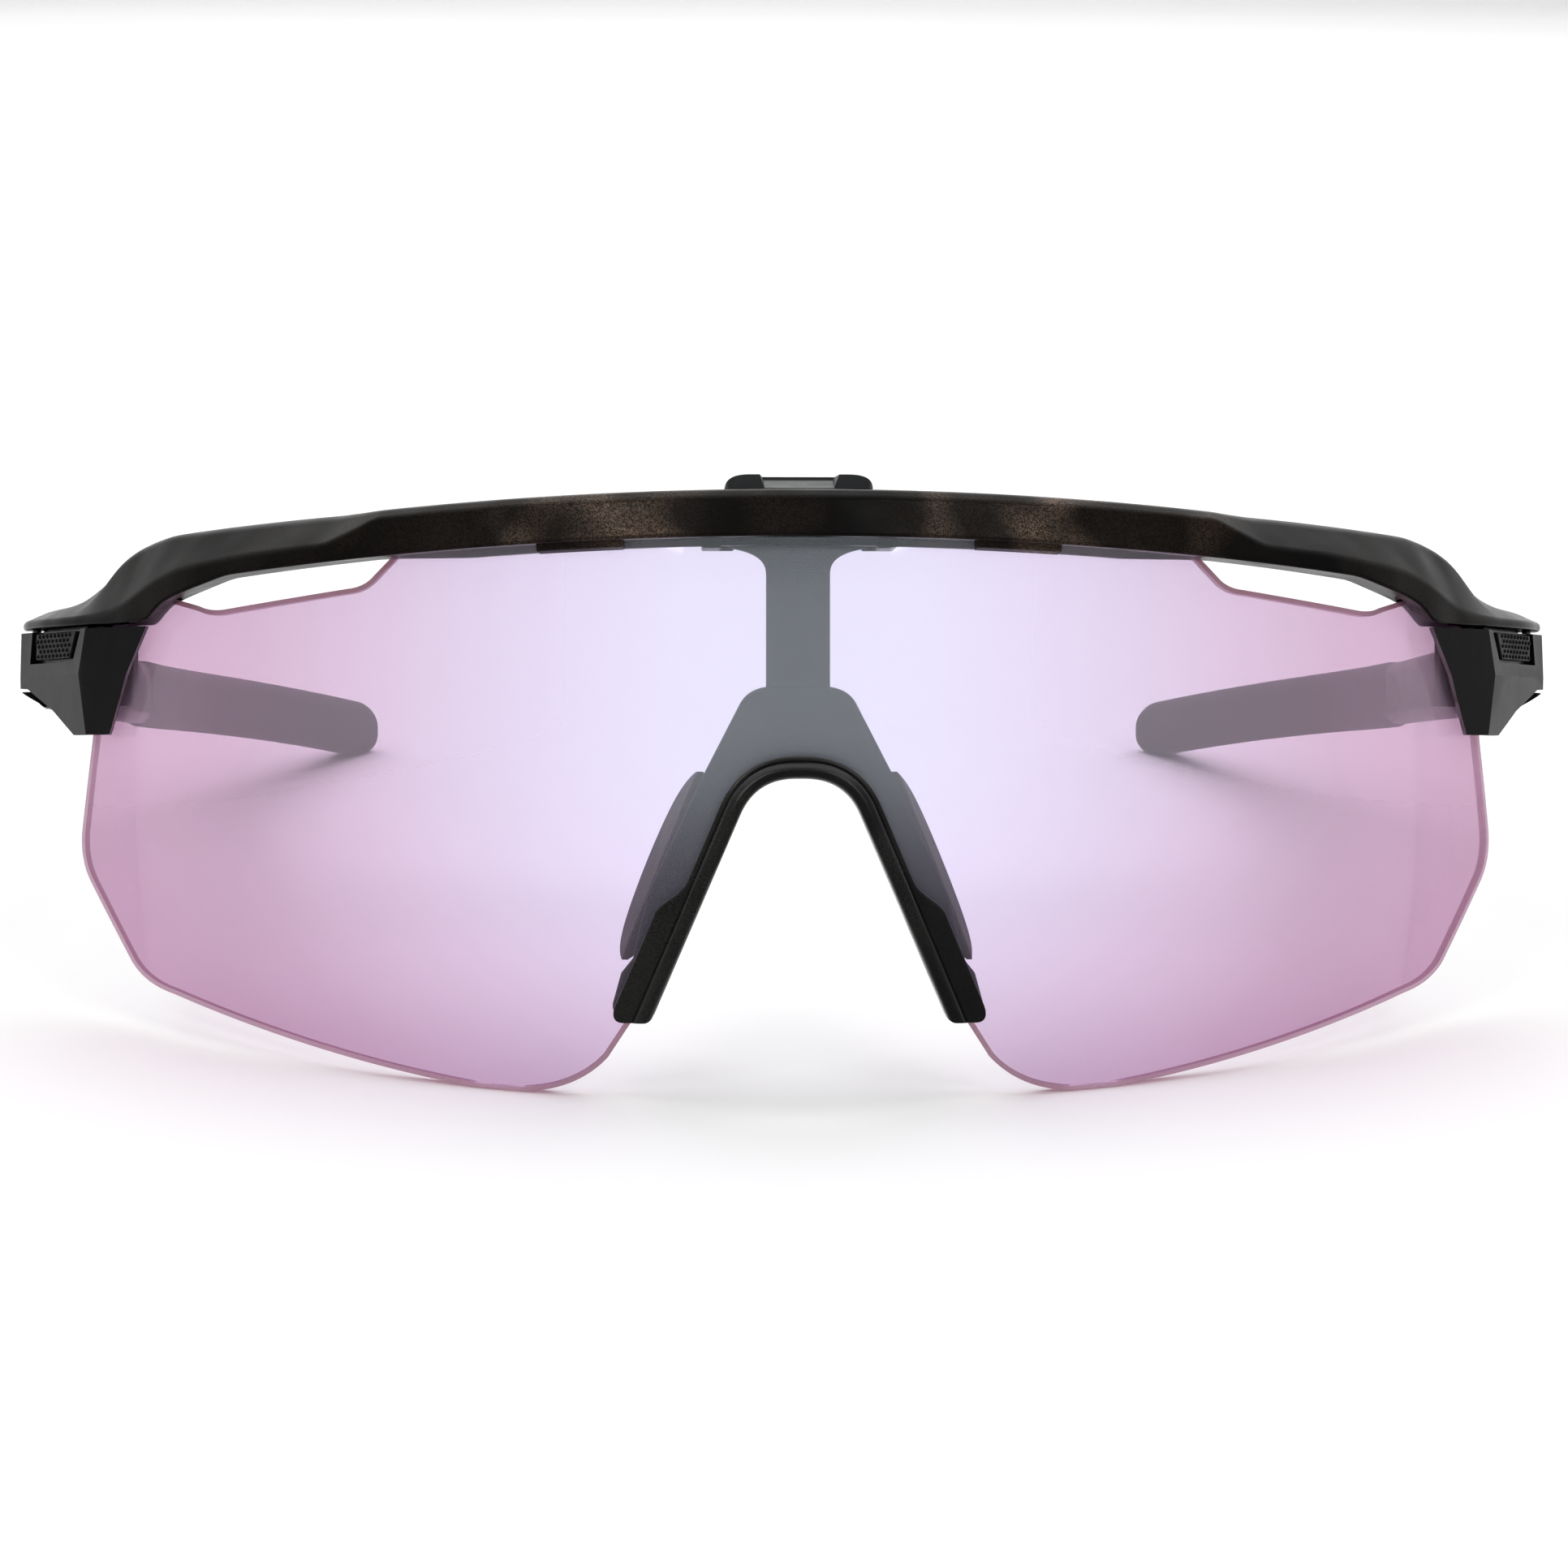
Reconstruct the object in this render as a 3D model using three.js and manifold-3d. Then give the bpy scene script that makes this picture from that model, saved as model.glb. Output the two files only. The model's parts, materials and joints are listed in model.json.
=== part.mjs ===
// Wraparound sport sunglasses: a moulded brow frame over a single toric shield lens, a nose bridge
// round the lens notch, a nose carrier on a sliding centre strut, a swinging lens lock with a thumb
// slide at each temple, and two folding temples with rubber sleeves on a metal core.
//
// Design frame, millimetres: X across (the wearer's left is +X), Y back towards the ears, Z up.
// Y = 0 is the front of the lens on its centre line. Left pieces are built and right ones mirrored.
// The whole assembly is then pitched so that it stands on the lens and the temple tips.
import * as THREE from 'three';
import { mergeVertices } from 'three/addons/utils/BufferGeometryUtils.js';
import Module from 'manifold-3d';

const wasm = await Module();
wasm.setup();

// ---------------------------------------------------------------- driving dimensions
const GAP = 0.3; // between pieces that meet

const LENS_RADIUS = 80; // horizontal curve of the lens front
const LENS_DROP_RADIUS = 140; // vertical curve of the lens front
const LENS_THICK = 2;
const SEAT = LENS_THICK + GAP; // where the frame begins behind the lens front

const BAR_FRONT = 2.4; // brow bar ahead of the lens face
const BAR_BACK = -4.2; // brow bar behind the lens face
const BAR_HEIGHT = 4.2;
const BROW_TOP = 25.75; // top of the brow at the centre
const BROW_DROOP = 0.00098; // its fall with the square of X
const CAP_TOP = 17.3; // top of the cap that runs back to the hinge
const CAP_BOTTOM = 14.85; // parting line above the lens lock

const WRAP = THREE.MathUtils.degToRad(48); // where the side rail leaves the lens curve
const RAIL_END = new THREE.Vector2(71.4, 50); // end of the side rail at the hinge

const PIN = new THREE.Vector2(69.2, 52.4); // temple hinge
const HINGE = { low: 7.3, high: 15.1, ear: 2.2, radius: 2.3 };
const SCREW = { shank: 0.8, head: 1.45, headHeight: 0.5 };

const RIDGE = new THREE.Vector2(66.6, 32.1); // plan corner between the two facets of the lock
const HEEL = new THREE.Vector2(74, 46.8); // plan corner where the side facet ends
const LOCK_PIN = new THREE.Vector2(72.6, 48.2);
const LOCK = { low: 4.6, high: CAP_BOTTOM - GAP, wall: 1.9, knuckle: 1.4, pin: 0.45, knuckleLow: 9.2 };

const SLIDE = { length: 10.6, height: 2.5, proud: 0.25, sunk: 0.6, centre: 7.35, z: 13.1, travel: 1 };
const WINDOW = { length: 13.1, height: 3.2, depth: 0.9 };
const NECK = { length: 2, height: 1.1, slot: 3.6, slotHeight: 1.7 }; // joins the slide to its foot
const FOOT = { length: 3.6, height: 2.4, deep: 3.2, room: 5.6, roomHeight: 3.2 };

const SLEEVE_START = 104; // Y where the rubber sleeve takes over from the arm
const TEMPLE_END = 168;
const CORE = { thick: 1.2, height: 2.8, start: 90, end: 161 };

const NOSE_TOP = 0.64; // inner crown of the nose arch
const NOSE_HALF = 4.02; // its half width at the crown, were the corner sharp
const NOSE_SLOPE = 0.43; // sideways per unit down
const NOSE_ROUND = 3.6;
const NOSE_FOOT = -20.9;

const STRUT = { y: 7, thick: 1.2, stem: 2.82, head: 6.55, top: 27.2, bottom: 8.9, toe: 4.6 };
const TAB = { front: 3.9, back: 9.6, thick: 1.15, corner: 1.5 }; // the finger tab on the strut's head
const RAIL = { low: 20.7, high: 24.2, wall: 1.7, lip: 1.2, front: 3.6 }; // behind the brow
const CARRIER = { y: 6.6, thick: 1.8 };
const PAD = { top: 1.1, bottom: -15.6, middle: -7.25, reach: 8.6, root: 8.9, slope: 0.4 };

const LENS_LOW = -27.3; // lowest edge of the lens
const STANCE_FRONT = 7; // Y at which the lens edge meets the ground
const TIP_LOW = 4.1; // height at which the underside of the temple tip is flattened to stand on
const PITCH = Math.atan2(TIP_LOW - LENS_LOW, TEMPLE_END - STANCE_FRONT);
const FLOOR_SHAVE = 0.12; // small flats where the object stands

// ---------------------------------------------------------------- solids and meshes
const { lerp, clamp } = THREE.MathUtils;
const share = (value, low, high) => clamp((value - low) / (high - low), 0, 1);
const steps = (from, to, count) => Array.from({ length: count + 1 }, (_, i) => lerp(from, to, i / count));
const polygon = (points) => new THREE.Shape(points.map(([x, y]) => new THREE.Vector2(x, y)));

function solidOf(geometry) {
  const bare = new THREE.BufferGeometry().setAttribute('position', geometry.getAttribute('position'));
  if (geometry.index) bare.setIndex(geometry.index);
  const merged = mergeVertices(bare, 1e-4);
  const points = merged.getAttribute('position').array;
  const index = facingOut(points, [...merged.index.array]);
  const mesh = new wasm.Mesh({
    numProp: 3,
    vertProperties: new Float32Array(points),
    triVerts: new Uint32Array(index),
  });
  mesh.merge();
  return new wasm.Manifold(mesh);
}

function facingOut(points, index) {
  const corner = (k) => new THREE.Vector3().fromArray(points, k * 3);
  let volume = 0;
  for (let i = 0; i < index.length; i += 3) {
    const [a, b, c] = [corner(index[i]), corner(index[i + 1]), corner(index[i + 2])];
    volume += a.dot(b.cross(c));
  }
  return volume > 0 ? index : index.reverse();
}

function geometryOf(solid) {
  const mesh = solid.getMesh();
  const points = new Float32Array(mesh.numVert * 3);
  for (let i = 0; i < mesh.numVert; i++) {
    points.set(mesh.vertProperties.subarray(i * mesh.numProp, i * mesh.numProp + 3), i * 3);
  }
  const geometry = new THREE.BufferGeometry();
  geometry.setAttribute('position', new THREE.BufferAttribute(points, 3));
  geometry.setIndex(new THREE.BufferAttribute(new Uint32Array(mesh.triVerts), 1));
  return geometry;
}

const join = (first, ...rest) => rest.reduce((whole, solid) => whole.add(solid), first);
const cut = (first, ...rest) => rest.reduce((whole, solid) => whole.subtract(solid), first);
const mirrored = (solid) => solid.mirror([1, 0, 0]);
const bothSides = (solid) => join(solid, mirrored(solid));

// A closed solid through stations; each has a section outline and a place function into space.
function loft(stations) {
  const count = stations[0].section.length;
  const points = stations.flatMap(({ place, section }) => section.flatMap(([a, b]) => place(a, b)));
  const index = [];
  for (let r = 0; r < stations.length - 1; r++) {
    for (let i = 0; i < count; i++) {
      const a = r * count + i;
      const b = r * count + ((i + 1) % count);
      index.push(a, b, b + count, a, b + count, a + count);
    }
  }
  for (const end of [0, stations.length - 1]) {
    const flat = stations[end].section.map(([a, b]) => new THREE.Vector2(a, b));
    const turn = Math.sign(THREE.ShapeUtils.area(flat)) * (end ? 1 : -1);
    for (const [i, j, k] of THREE.ShapeUtils.triangulateShape(flat, [])) {
      const same = THREE.ShapeUtils.area([flat[i], flat[j], flat[k]]) * turn > 0;
      index.push(...(same ? [i, j, k] : [i, k, j]).map((v) => v + end * count));
    }
  }
  const geometry = new THREE.BufferGeometry();
  geometry.setAttribute('position', new THREE.Float32BufferAttribute(points, 3));
  return solidOf(geometry.setIndex(index));
}

// A front-view outline in X and Z, run through the part along Y.
function frontPrism(shape, near = -15, far = 60) {
  const made = new THREE.ExtrudeGeometry(shape, {
    depth: far - near,
    bevelEnabled: false,
    curveSegments: 6,
  });
  return solidOf(made.rotateX(Math.PI / 2).translate(0, far, 0));
}

// A plan outline in X and Y, run up from low to high.
function planPrism(shape, low, high) {
  const made = new THREE.ExtrudeGeometry(shape, {
    depth: high - low,
    bevelEnabled: false,
    curveSegments: 8,
  });
  return solidOf(made.translate(0, 0, low));
}

function post(centre, radius, low, high, sides = 24) {
  const made = new THREE.CylinderGeometry(radius, radius, high - low, sides);
  return solidOf(made.rotateX(Math.PI / 2).translate(centre.x, centre.y, (low + high) / 2));
}

// ---------------------------------------------------------------- lens
const lensLowX = 24.3;

// The depth by which the toric surface draws back from its cylinder at a height.
const sag = (z) => (z * z) / (2 * LENS_DROP_RADIUS);

// A shell that follows the lens between two distances out from its face.
function lensShell(front, back) {
  const heights = steps(-29, 27, 14);
  const profile = [
    ...heights.map((z) => new THREE.Vector2(LENS_RADIUS + front - sag(z), z)),
    ...heights.reverse().map((z) => new THREE.Vector2(LENS_RADIUS + back - sag(z), z)),
  ];
  profile.push(profile[0].clone());
  const made = new THREE.LatheGeometry(profile, 96);
  return solidOf(made.rotateX(Math.PI / 2).translate(0, LENS_RADIUS, 0));
}

// Half the nose arch, grown outwards by a margin, from its crown down to a foot height.
function noseEdge(margin, foot) {
  const slant = Math.hypot(1, NOSE_SLOPE);
  const crown = NOSE_TOP + margin;
  const at = (z) => NOSE_HALF + (NOSE_TOP - z) * NOSE_SLOPE + margin * slant;
  const reach = NOSE_ROUND + margin * 0.5;
  const path = new THREE.Path();
  path.moveTo(0, crown);
  path.lineTo(Math.max(at(crown) - reach, 0.3), crown);
  path.quadraticCurveTo(at(crown), crown, at(crown - reach * 0.9), crown - reach * 0.9);
  path.lineTo(at(foot), foot);
  return path.getPoints(6);
}

// The left half of the front outline, grown by a margin, closed through the right.
function lensOutline(grow = 0) {
  const top = (x) => BROW_TOP - 2.1 + grow - BROW_DROOP * x * x;
  const half = new THREE.Path();
  half.moveTo(0, top(0));
  half.quadraticCurveTo(18, top(0), 35.3, top(35.3));
  half.lineTo(36.3, 20.4);
  half.lineTo(38.6, 18.5);
  half.quadraticCurveTo(39.6, 17.7, 41, 17.5);
  half.lineTo(51.6, 15.95);
  half.quadraticCurveTo(53.2, 15.7, 54.4, 16.3);
  half.lineTo(57.4, 17.2 + grow);
  half.lineTo(60 + grow, 16.9 + grow);
  half.lineTo(64.4 + grow, 14.2 + grow);
  half.lineTo(65.6 + grow, 4);
  half.lineTo(66.8, -4.6);
  half.quadraticCurveTo(67, -7.2, 65.9, -9.1);
  half.lineTo(61.4, -16.6);
  half.quadraticCurveTo(60, -18.6, 57, -19.4);
  half.quadraticCurveTo(41, -25, 27.5, -27);
  half.quadraticCurveTo(20.4, -27.9, 16.8, -24);
  const nose = noseEdge(1.6 - grow, NOSE_FOOT + 0.6).reverse();
  const points = [...half.getPoints(6), ...nose];
  const other = points.slice(1, -1).map((p) => new THREE.Vector2(-p.x, p.y)).reverse();
  return new THREE.Shape([...points, ...other]);
}

// Everything below the plane on which the finished object stands.
function floorBlock() {
  const made = new THREE.BoxGeometry(200, 260, 20).translate(0, 100, -10 + FLOOR_SHAVE);
  const low = new THREE.Vector3(0, lensLowY, LENS_LOW);
  made.rotateX(PITCH).translate(0, low.y, low.z);
  return solidOf(made);
}

const lensLowY = LENS_RADIUS - Math.sqrt((LENS_RADIUS - sag(LENS_LOW)) ** 2 - lensLowX ** 2);
const lensRoom = lensShell(GAP, -SEAT).intersect(frontPrism(lensOutline(0.4)));
const shieldLens = () => cut(lensShell(0, -LENS_THICK).intersect(frontPrism(lensOutline())), floorBlock());

// ---------------------------------------------------------------- brow frame
const wrapPoint = new THREE.Vector2(
  LENS_RADIUS * Math.sin(WRAP), LENS_RADIUS * (1 - Math.cos(WRAP)),
);
const sideRail = new THREE.CubicBezierCurve(
  wrapPoint,
  wrapPoint.clone().add(new THREE.Vector2(Math.cos(WRAP), Math.sin(WRAP)).multiplyScalar(9)),
  new THREE.Vector2(RAIL_END.x - 0.3, RAIL_END.y - 9),
  RAIL_END,
);

// u runs from 0 at the centre to 1 where the rail leaves the lens curve and 2 at the hinge, and is
// negative on the other side. Section coordinates are the distance out from the lens face and Z.
function railStation(u, section) {
  const side = Math.sign(u) || 1;
  const along = Math.abs(u);
  const angle = along * WRAP;
  const onLens = along <= 1;
  const point = onLens
    ? new THREE.Vector2(Math.sin(angle), 1 - Math.cos(angle)).multiplyScalar(LENS_RADIUS)
    : sideRail.getPoint(along - 1);
  const run = onLens
    ? new THREE.Vector2(Math.cos(angle), Math.sin(angle))
    : sideRail.getTangent(along - 1);
  const upright = 1 - share(along, 1.1, 1.8); // the surface stands straight again at the hinge
  const place = (n, z) => {
    const depth = n - sag(z) * upright;
    return [side * (point.x + depth * run.y), point.y - depth * run.x, z];
  };
  return { place, section: section((n) => point.x + n * run.y, along) };
}

// A height read from knots of X and height, softened over a reach either side.
function profile(x, knots) {
  const next = knots.findIndex(([knot]) => x <= knot);
  if (next === 0) return knots[0][1];
  if (next < 0) return knots.at(-1)[1];
  const [[x0, z0], [x1, z1]] = [knots[next - 1], knots[next]];
  return lerp(z0, z1, (x - x0) / (x1 - x0));
}

function softened(x, knots, reach = 0.5) {
  const places = [-1, -0.5, 0, 0.5, 1].map((k) => x + reach * k);
  return places.reduce((sum, place) => sum + profile(place, knots), 0) / places.length;
}

// The fall of the brow's top from the bar to the cap, as a share of the whole step.
const SHOULDER_FALL = [
  [58.5, 0], [60.2, 0.06], [61.5, 0.15], [62.7, 0.31], [63.5, 0.54], [64.1, 0.76], [64.7, 0.92], [65.3, 1],
];
// The edge between the front face and the broad bevel of the shoulder.
const RIDGE_LINE = [
  [43.2, 21.3], [51, 20.6], [57.5, 19.6], [59.4, 18.8], [60.9, 17.9], [62.8, 16.4], [64.5, 15.75],
  [66, 15.6], [80, 15.5],
];
// How far the underside bends down below its even curve as it nears the cap.
const BOTTOM_BEND = [[52.5, 0], [55.5, 0.7], [57.4, 1.15], [59, 1.75], [60.2, 3.2], [61, 4.2]];

function browTop(x) {
  const bar = BROW_TOP - BROW_DROOP * x * x + 0.6 * share(x, 40, 58);
  return lerp(bar, CAP_TOP - 0.2 - 0.07 * Math.max(x - 65, 0), softened(x, SHOULDER_FALL));
}

function browBottom(x) {
  const bar = BROW_TOP - BAR_HEIGHT - BROW_DROOP * x * x;
  return Math.max(bar - softened(x, BOTTOM_BEND), CAP_BOTTOM);
}

function browSection(xAt, along) {
  const shoulder = share(along, 1.3, 2);
  const front = BAR_FRONT + 0.2 * shoulder;
  const back = BAR_BACK + 0.6 * shoulder;
  const x = xAt(front);
  const broad = share(x, 38.4, 43.2);
  const crest = front - lerp(0.75, 2.3, broad) - 0.3 * shoulder;
  const ridge = lerp(browTop(x) - 0.75, softened(x, RIDGE_LINE, 1.2), broad);
  const lip = 0.7 * (1 - share(xAt(-SEAT), 35.5, 38.5));
  return [
    [front, browBottom(x)], [front, ridge], [crest, browTop(xAt(crest))],
    [back + 0.8, browTop(xAt(back + 0.8))], [back, browTop(xAt(back)) - 0.8],
    [back, browBottom(xAt(back)) - lip], [-SEAT - 0.2, browBottom(xAt(-SEAT)) - lip],
    [-SEAT, browBottom(xAt(-SEAT))],
  ];
}

const browBar = () => loft([
  ...steps(-2, -1, 16), ...steps(-1, 1, 34).slice(1, -1), ...steps(1, 2, 16),
].map((u) => railStation(u, browSection)));

// A point of the lock's side facet: along it from the ridge, and out from it.
const lockRun = HEEL.clone().sub(RIDGE).normalize();
const lockOut = new THREE.Vector2(lockRun.y, -lockRun.x);
const facetPoint = (s, n) => RIDGE.clone().addScaledVector(lockRun, s).addScaledVector(lockOut, n);

// A box on that facet: its middle and length along, a depth range out, its middle and height in Z.
function facetBox(s, length, [deep, high], z, height) {
  const made = new THREE.BoxGeometry(length, high - deep, height);
  const turn = new THREE.Matrix4().makeRotationZ(Math.atan2(lockRun.y, lockRun.x));
  const middle = facetPoint(s, (deep + high) / 2);
  return solidOf(made.applyMatrix4(turn).translate(middle.x, middle.y, z));
}

// The lug behind the lens edge and the lock, ending in the two ears of the temple hinge.
function hingeLug() {
  const outer = [3.6, 15.1].map((s) => facetPoint(s, -LOCK.wall - GAP));
  const plan = polygon([
    [61.9, 32], [65.5, 36.2], ...outer.map((p) => [p.x, p.y]), [72, 50],
    [67, 50], [66.2, 44], [64.3, 39.5], [61.3, 34.9],
  ]);
  const body = planPrism(plan, HINGE.low, CAP_BOTTOM + 0.6);
  const ear = new THREE.Shape();
  ear.moveTo(PIN.x - HINGE.radius, PIN.y);
  ear.lineTo(PIN.x - HINGE.radius, 49);
  ear.lineTo(PIN.x + HINGE.radius, 49);
  ear.lineTo(PIN.x + HINGE.radius, PIN.y);
  ear.absarc(PIN.x, PIN.y, HINGE.radius, 0, Math.PI, false);
  const ears = [HINGE.low, HINGE.high - HINGE.ear].map((z) => planPrism(ear, z, z + HINGE.ear));
  const underLock = polygon([[66, 7.4], [71.5, 7.4], [74.1, 8.9], [66, 8.9]]);
  const tab = join(
    post(LOCK_PIN, LOCK.knuckle, HINGE.low, 8.9, 18),
    planPrism(polygon([[69, 46.9], [72.6, 46.9], [72.6, 49.5], [69, 49.9]]), HINGE.low, 8.9),
  );
  return join(body, ...ears, tab.intersect(frontPrism(underLock)));
}

// Two hooked rails behind the brow guide the head of the centre strut.
function strutRails() {
  const back = STRUT.y + STRUT.thick + GAP;
  const inner = STRUT.head + GAP;
  const outer = inner + RAIL.wall;
  const lip = inner - RAIL.lip;
  const hook = polygon([
    [inner, RAIL.front], [outer, RAIL.front], [outer, back + 0.9],
    [lip, back + 0.9], [lip, back], [inner, back],
  ]);
  return bothSides(planPrism(hook, RAIL.low, RAIL.high));
}

function browFrame() {
  const holes = join(
    post(PIN, SCREW.shank + GAP, HINGE.low - 3, HINGE.high + 1),
    post(PIN, SCREW.head + GAP, HINGE.high - SCREW.headHeight - 2 * GAP, HINGE.high + 1),
    post(LOCK_PIN, LOCK.knuckle + GAP, LOCK.knuckleLow - GAP, CAP_BOTTOM),
    post(LOCK_PIN, LOCK.pin + GAP, HINGE.low, CAP_BOTTOM + 1.2, 16),
    facetBox(SLIDE.centre + SLIDE.travel / 2, FOOT.room, [-3.6, 0], SLIDE.z, FOOT.roomHeight),
  );
  const whole = join(browBar(), bothSides(hingeLug()), strutRails());
  return cut(whole, bothSides(holes), lensRoom);
}

// ---------------------------------------------------------------- lens lock
// The lock swings outwards on an upright pin at its heel and clasps the lens edge from the front.
function lockJaw() {
  const rear = facetPoint(15, -LOCK.wall);
  const front = facetPoint(0, -LOCK.wall);
  const plan = polygon([
    [58.6, 24.17], [RIDGE.x, RIDGE.y], [HEEL.x, HEEL.y], [HEEL.x, LOCK_PIN.y],
    [LOCK_PIN.x, LOCK_PIN.y], [rear.x, rear.y], [front.x, front.y],
    [64.6, 34.9], [61.6, 30.9], [58.2, 26.9],
  ]);
  const outline = polygon([
    [59.4, 14.7], [60.5, 12.4], [61.55, 10.2], [62.2, 8], [63.3, LOCK.low],
    [67.3, LOCK.low], [69.9, 7], [73.2, LOCK.knuckleLow], [75, LOCK.knuckleLow], [75, 14.7],
  ]);
  const underKnuckle = planPrism(polygon([[68, 46.6], [75, 46.6], [75, 52], [68, 52]]), 0, LOCK.knuckleLow);
  const body = planPrism(plan, LOCK.low, LOCK.high).intersect(frontPrism(outline));
  const knuckle = post(LOCK_PIN, LOCK.knuckle, LOCK.knuckleLow, LOCK.high);
  return cut(
    join(cut(body, underKnuckle), knuckle),
    lensRoom,
    post(LOCK_PIN, LOCK.pin + GAP, LOCK.low, LOCK.high + 1, 16),
    facetBox(SLIDE.centre, WINDOW.length, [-WINDOW.depth, 1], SLIDE.z, WINDOW.height),
    facetBox(SLIDE.centre + SLIDE.travel / 2, NECK.slot, [-3, 1], SLIDE.z, NECK.slotHeight),
  );
}

// The thumb slide: a pad in the window, a neck through the lock wall and a foot behind it.
function releaseSlider() {
  const { length, height, proud, sunk, centre, z, travel } = SLIDE;
  const footTop = -LOCK.wall - GAP;
  const pad = facetBox(centre - travel / 2, length, [-sunk, proud], z, height);
  const neck = facetBox(centre, NECK.length, [footTop - 0.1, 0.1 - sunk], z, NECK.height);
  const foot = facetBox(centre, FOOT.length, [-FOOT.deep, footTop], z, FOOT.height);
  return join(pad, neck, foot);
}

const lockPin = () => post(LOCK_PIN, LOCK.pin, 8.2, CAP_BOTTOM + 0.9, 16);

// ---------------------------------------------------------------- temples
const templePath = new THREE.SplineCurve([
  new THREE.Vector2(70.8, 50 + GAP),
  new THREE.Vector2(70.8, 68),
  new THREE.Vector2(70.2, 88),
  new THREE.Vector2(66, 125),
  new THREE.Vector2(48.6, TEMPLE_END),
]);

const templeTop = (y) => 15 - 0.031 * (y - 50) - 0.00078 * Math.max(y - 120, 0) ** 2;
const templeLow = (y) => 7.3 - 0.0133 * (y - 50) - 0.00095 * Math.max(y - 120, 0) ** 2;

// Stations along the temple between two Y values; size gives half thickness, low and high at a Y.
function templeStations(from, to, count, size, corner) {
  return steps(from, to, count).map((y) => {
    const t = templeParameter(y);
    const point = templePath.getPoint(t);
    const run = templePath.getTangent(t);
    const { half, low, high } = size(y);
    const c = Math.min(corner, half * 0.8);
    const place = (a, z) => [point.x + a * run.y, point.y - a * run.x, z];
    const section = [
      [half, low + c], [half, high - c], [half - c, high], [c - half, high],
      [-half, high - c], [-half, low + c], [c - half, low], [half - c, low],
    ];
    return { place, section };
  });
}

function templeParameter(y) {
  let [low, high] = [0, 1];
  for (let i = 0; i < 30; i++) {
    const middle = (low + high) / 2;
    if (templePath.getPoint(middle).y < y) low = middle;
    else high = middle;
  }
  return (low + high) / 2;
}

const coreSize = (grow) => (y) => {
  const middle = (templeTop(y) + templeLow(y)) / 2;
  const reach = CORE.height / 2 + grow;
  return { half: CORE.thick / 2 + grow, low: middle - reach, high: middle + reach };
};

const templeCore = (grow = 0) => loft(
  templeStations(CORE.start - grow, CORE.end + grow, 14, coreSize(grow), 0.3),
);

function templeArm() {
  const size = (y) => ({
    half: lerp(2.2, 1.7, share(y, 60, 100)), low: templeLow(y), high: templeTop(y),
  });
  const body = loft(templeStations(50 + GAP, SLEEVE_START - GAP, 12, size, 0.9));
  const { low, high, ear, radius } = HINGE;
  const knuckle = post(PIN, radius, low + ear + GAP, high - ear - GAP);
  const clear = radius + GAP;
  // The ears sweep from ahead of the pin round to its inner side as the temple folds.
  const swing = new THREE.Shape();
  swing.moveTo(PIN.x + clear, 45);
  swing.lineTo(PIN.x + clear, PIN.y);
  swing.absarc(PIN.x, PIN.y, clear, 0, Math.PI * 0.5, false);
  swing.lineTo(60, PIN.y + clear);
  swing.lineTo(60, 45);
  return cut(
    join(cut(body, planPrism(swing, low - 3, high + 3)), cut(armRoot(clear), templeCore(GAP)), knuckle),
    post(PIN, SCREW.shank + GAP, low, high),
    templeCore(GAP),
  );
}

// The web that joins the knuckle to the arm behind and beside it.
function armRoot(clear) {
  const { low, high, ear } = HINGE;
  const web = polygon([
    [PIN.x, PIN.y], [PIN.x + clear + 0.4, PIN.y - 0.6], [PIN.x + clear + 0.4, PIN.y + clear + 1],
    [PIN.x - 0.4, PIN.y + clear + 1],
  ]);
  return planPrism(web, low + ear + GAP, high - ear - GAP);
}

function templeSleeve() {
  const size = (y) => {
    const round = Math.sqrt(1 - share(y, TEMPLE_END - 3, TEMPLE_END + 0.3) ** 2);
    const middle = (templeTop(y) + templeLow(y)) / 2;
    const reach = (templeTop(y) - templeLow(y)) / 2;
    const swell = 0.25 * share(y, SLEEVE_START, SLEEVE_START + 3);
    return {
      half: (1.8 + 0.3 * share(y, 104, 140) + swell) * lerp(0.75, 1, round),
      low: middle - (reach + swell) * lerp(0.5, 1, round),
      high: middle + (reach + swell) * lerp(0.5, 1, round),
    };
  };
  const body = loft([
    ...templeStations(SLEEVE_START, TEMPLE_END - 3, 14, size, 1.1),
    ...templeStations(TEMPLE_END - 3, TEMPLE_END, 5, size, 1.1).slice(1),
  ]);
  return cut(body, templeCore(GAP), floorBlock());
}

function hingeScrew() {
  const seat = HINGE.high - SCREW.headHeight;
  return join(
    post(PIN, SCREW.shank, HINGE.low + 0.3, seat + 0.1),
    post(PIN, SCREW.head, seat, HINGE.high),
  );
}

// ---------------------------------------------------------------- nose bridge, strut, carrier, pads
// A front-view band between an outer and an inner half line, closed through the other side.
function arch(outer, inner) {
  const half = [...outer, ...inner.slice().reverse()];
  const other = half.slice(1, -1).map((p) => new THREE.Vector2(-p.x, p.y)).reverse();
  return new THREE.Shape([...half, ...other]);
}

function noseFrame() {
  const upper = noseEdge(2.3, -9);
  const lower = noseEdge(3.2, NOSE_FOOT + 1.2).slice(-1);
  const flare = noseEdge(3.2, -12.6).slice(-1);
  const inner = noseEdge(-0.2, NOSE_FOOT + 0.4);
  const tip = [new THREE.Vector2(15.9, NOSE_FOOT + 0.1), new THREE.Vector2(14, NOSE_FOOT)];
  const outline = arch([...upper, ...flare, ...lower, ...tip], inner);
  return cut(lensShell(1.6, -1.9).intersect(frontPrism(outline)), lensRoom);
}

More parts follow.
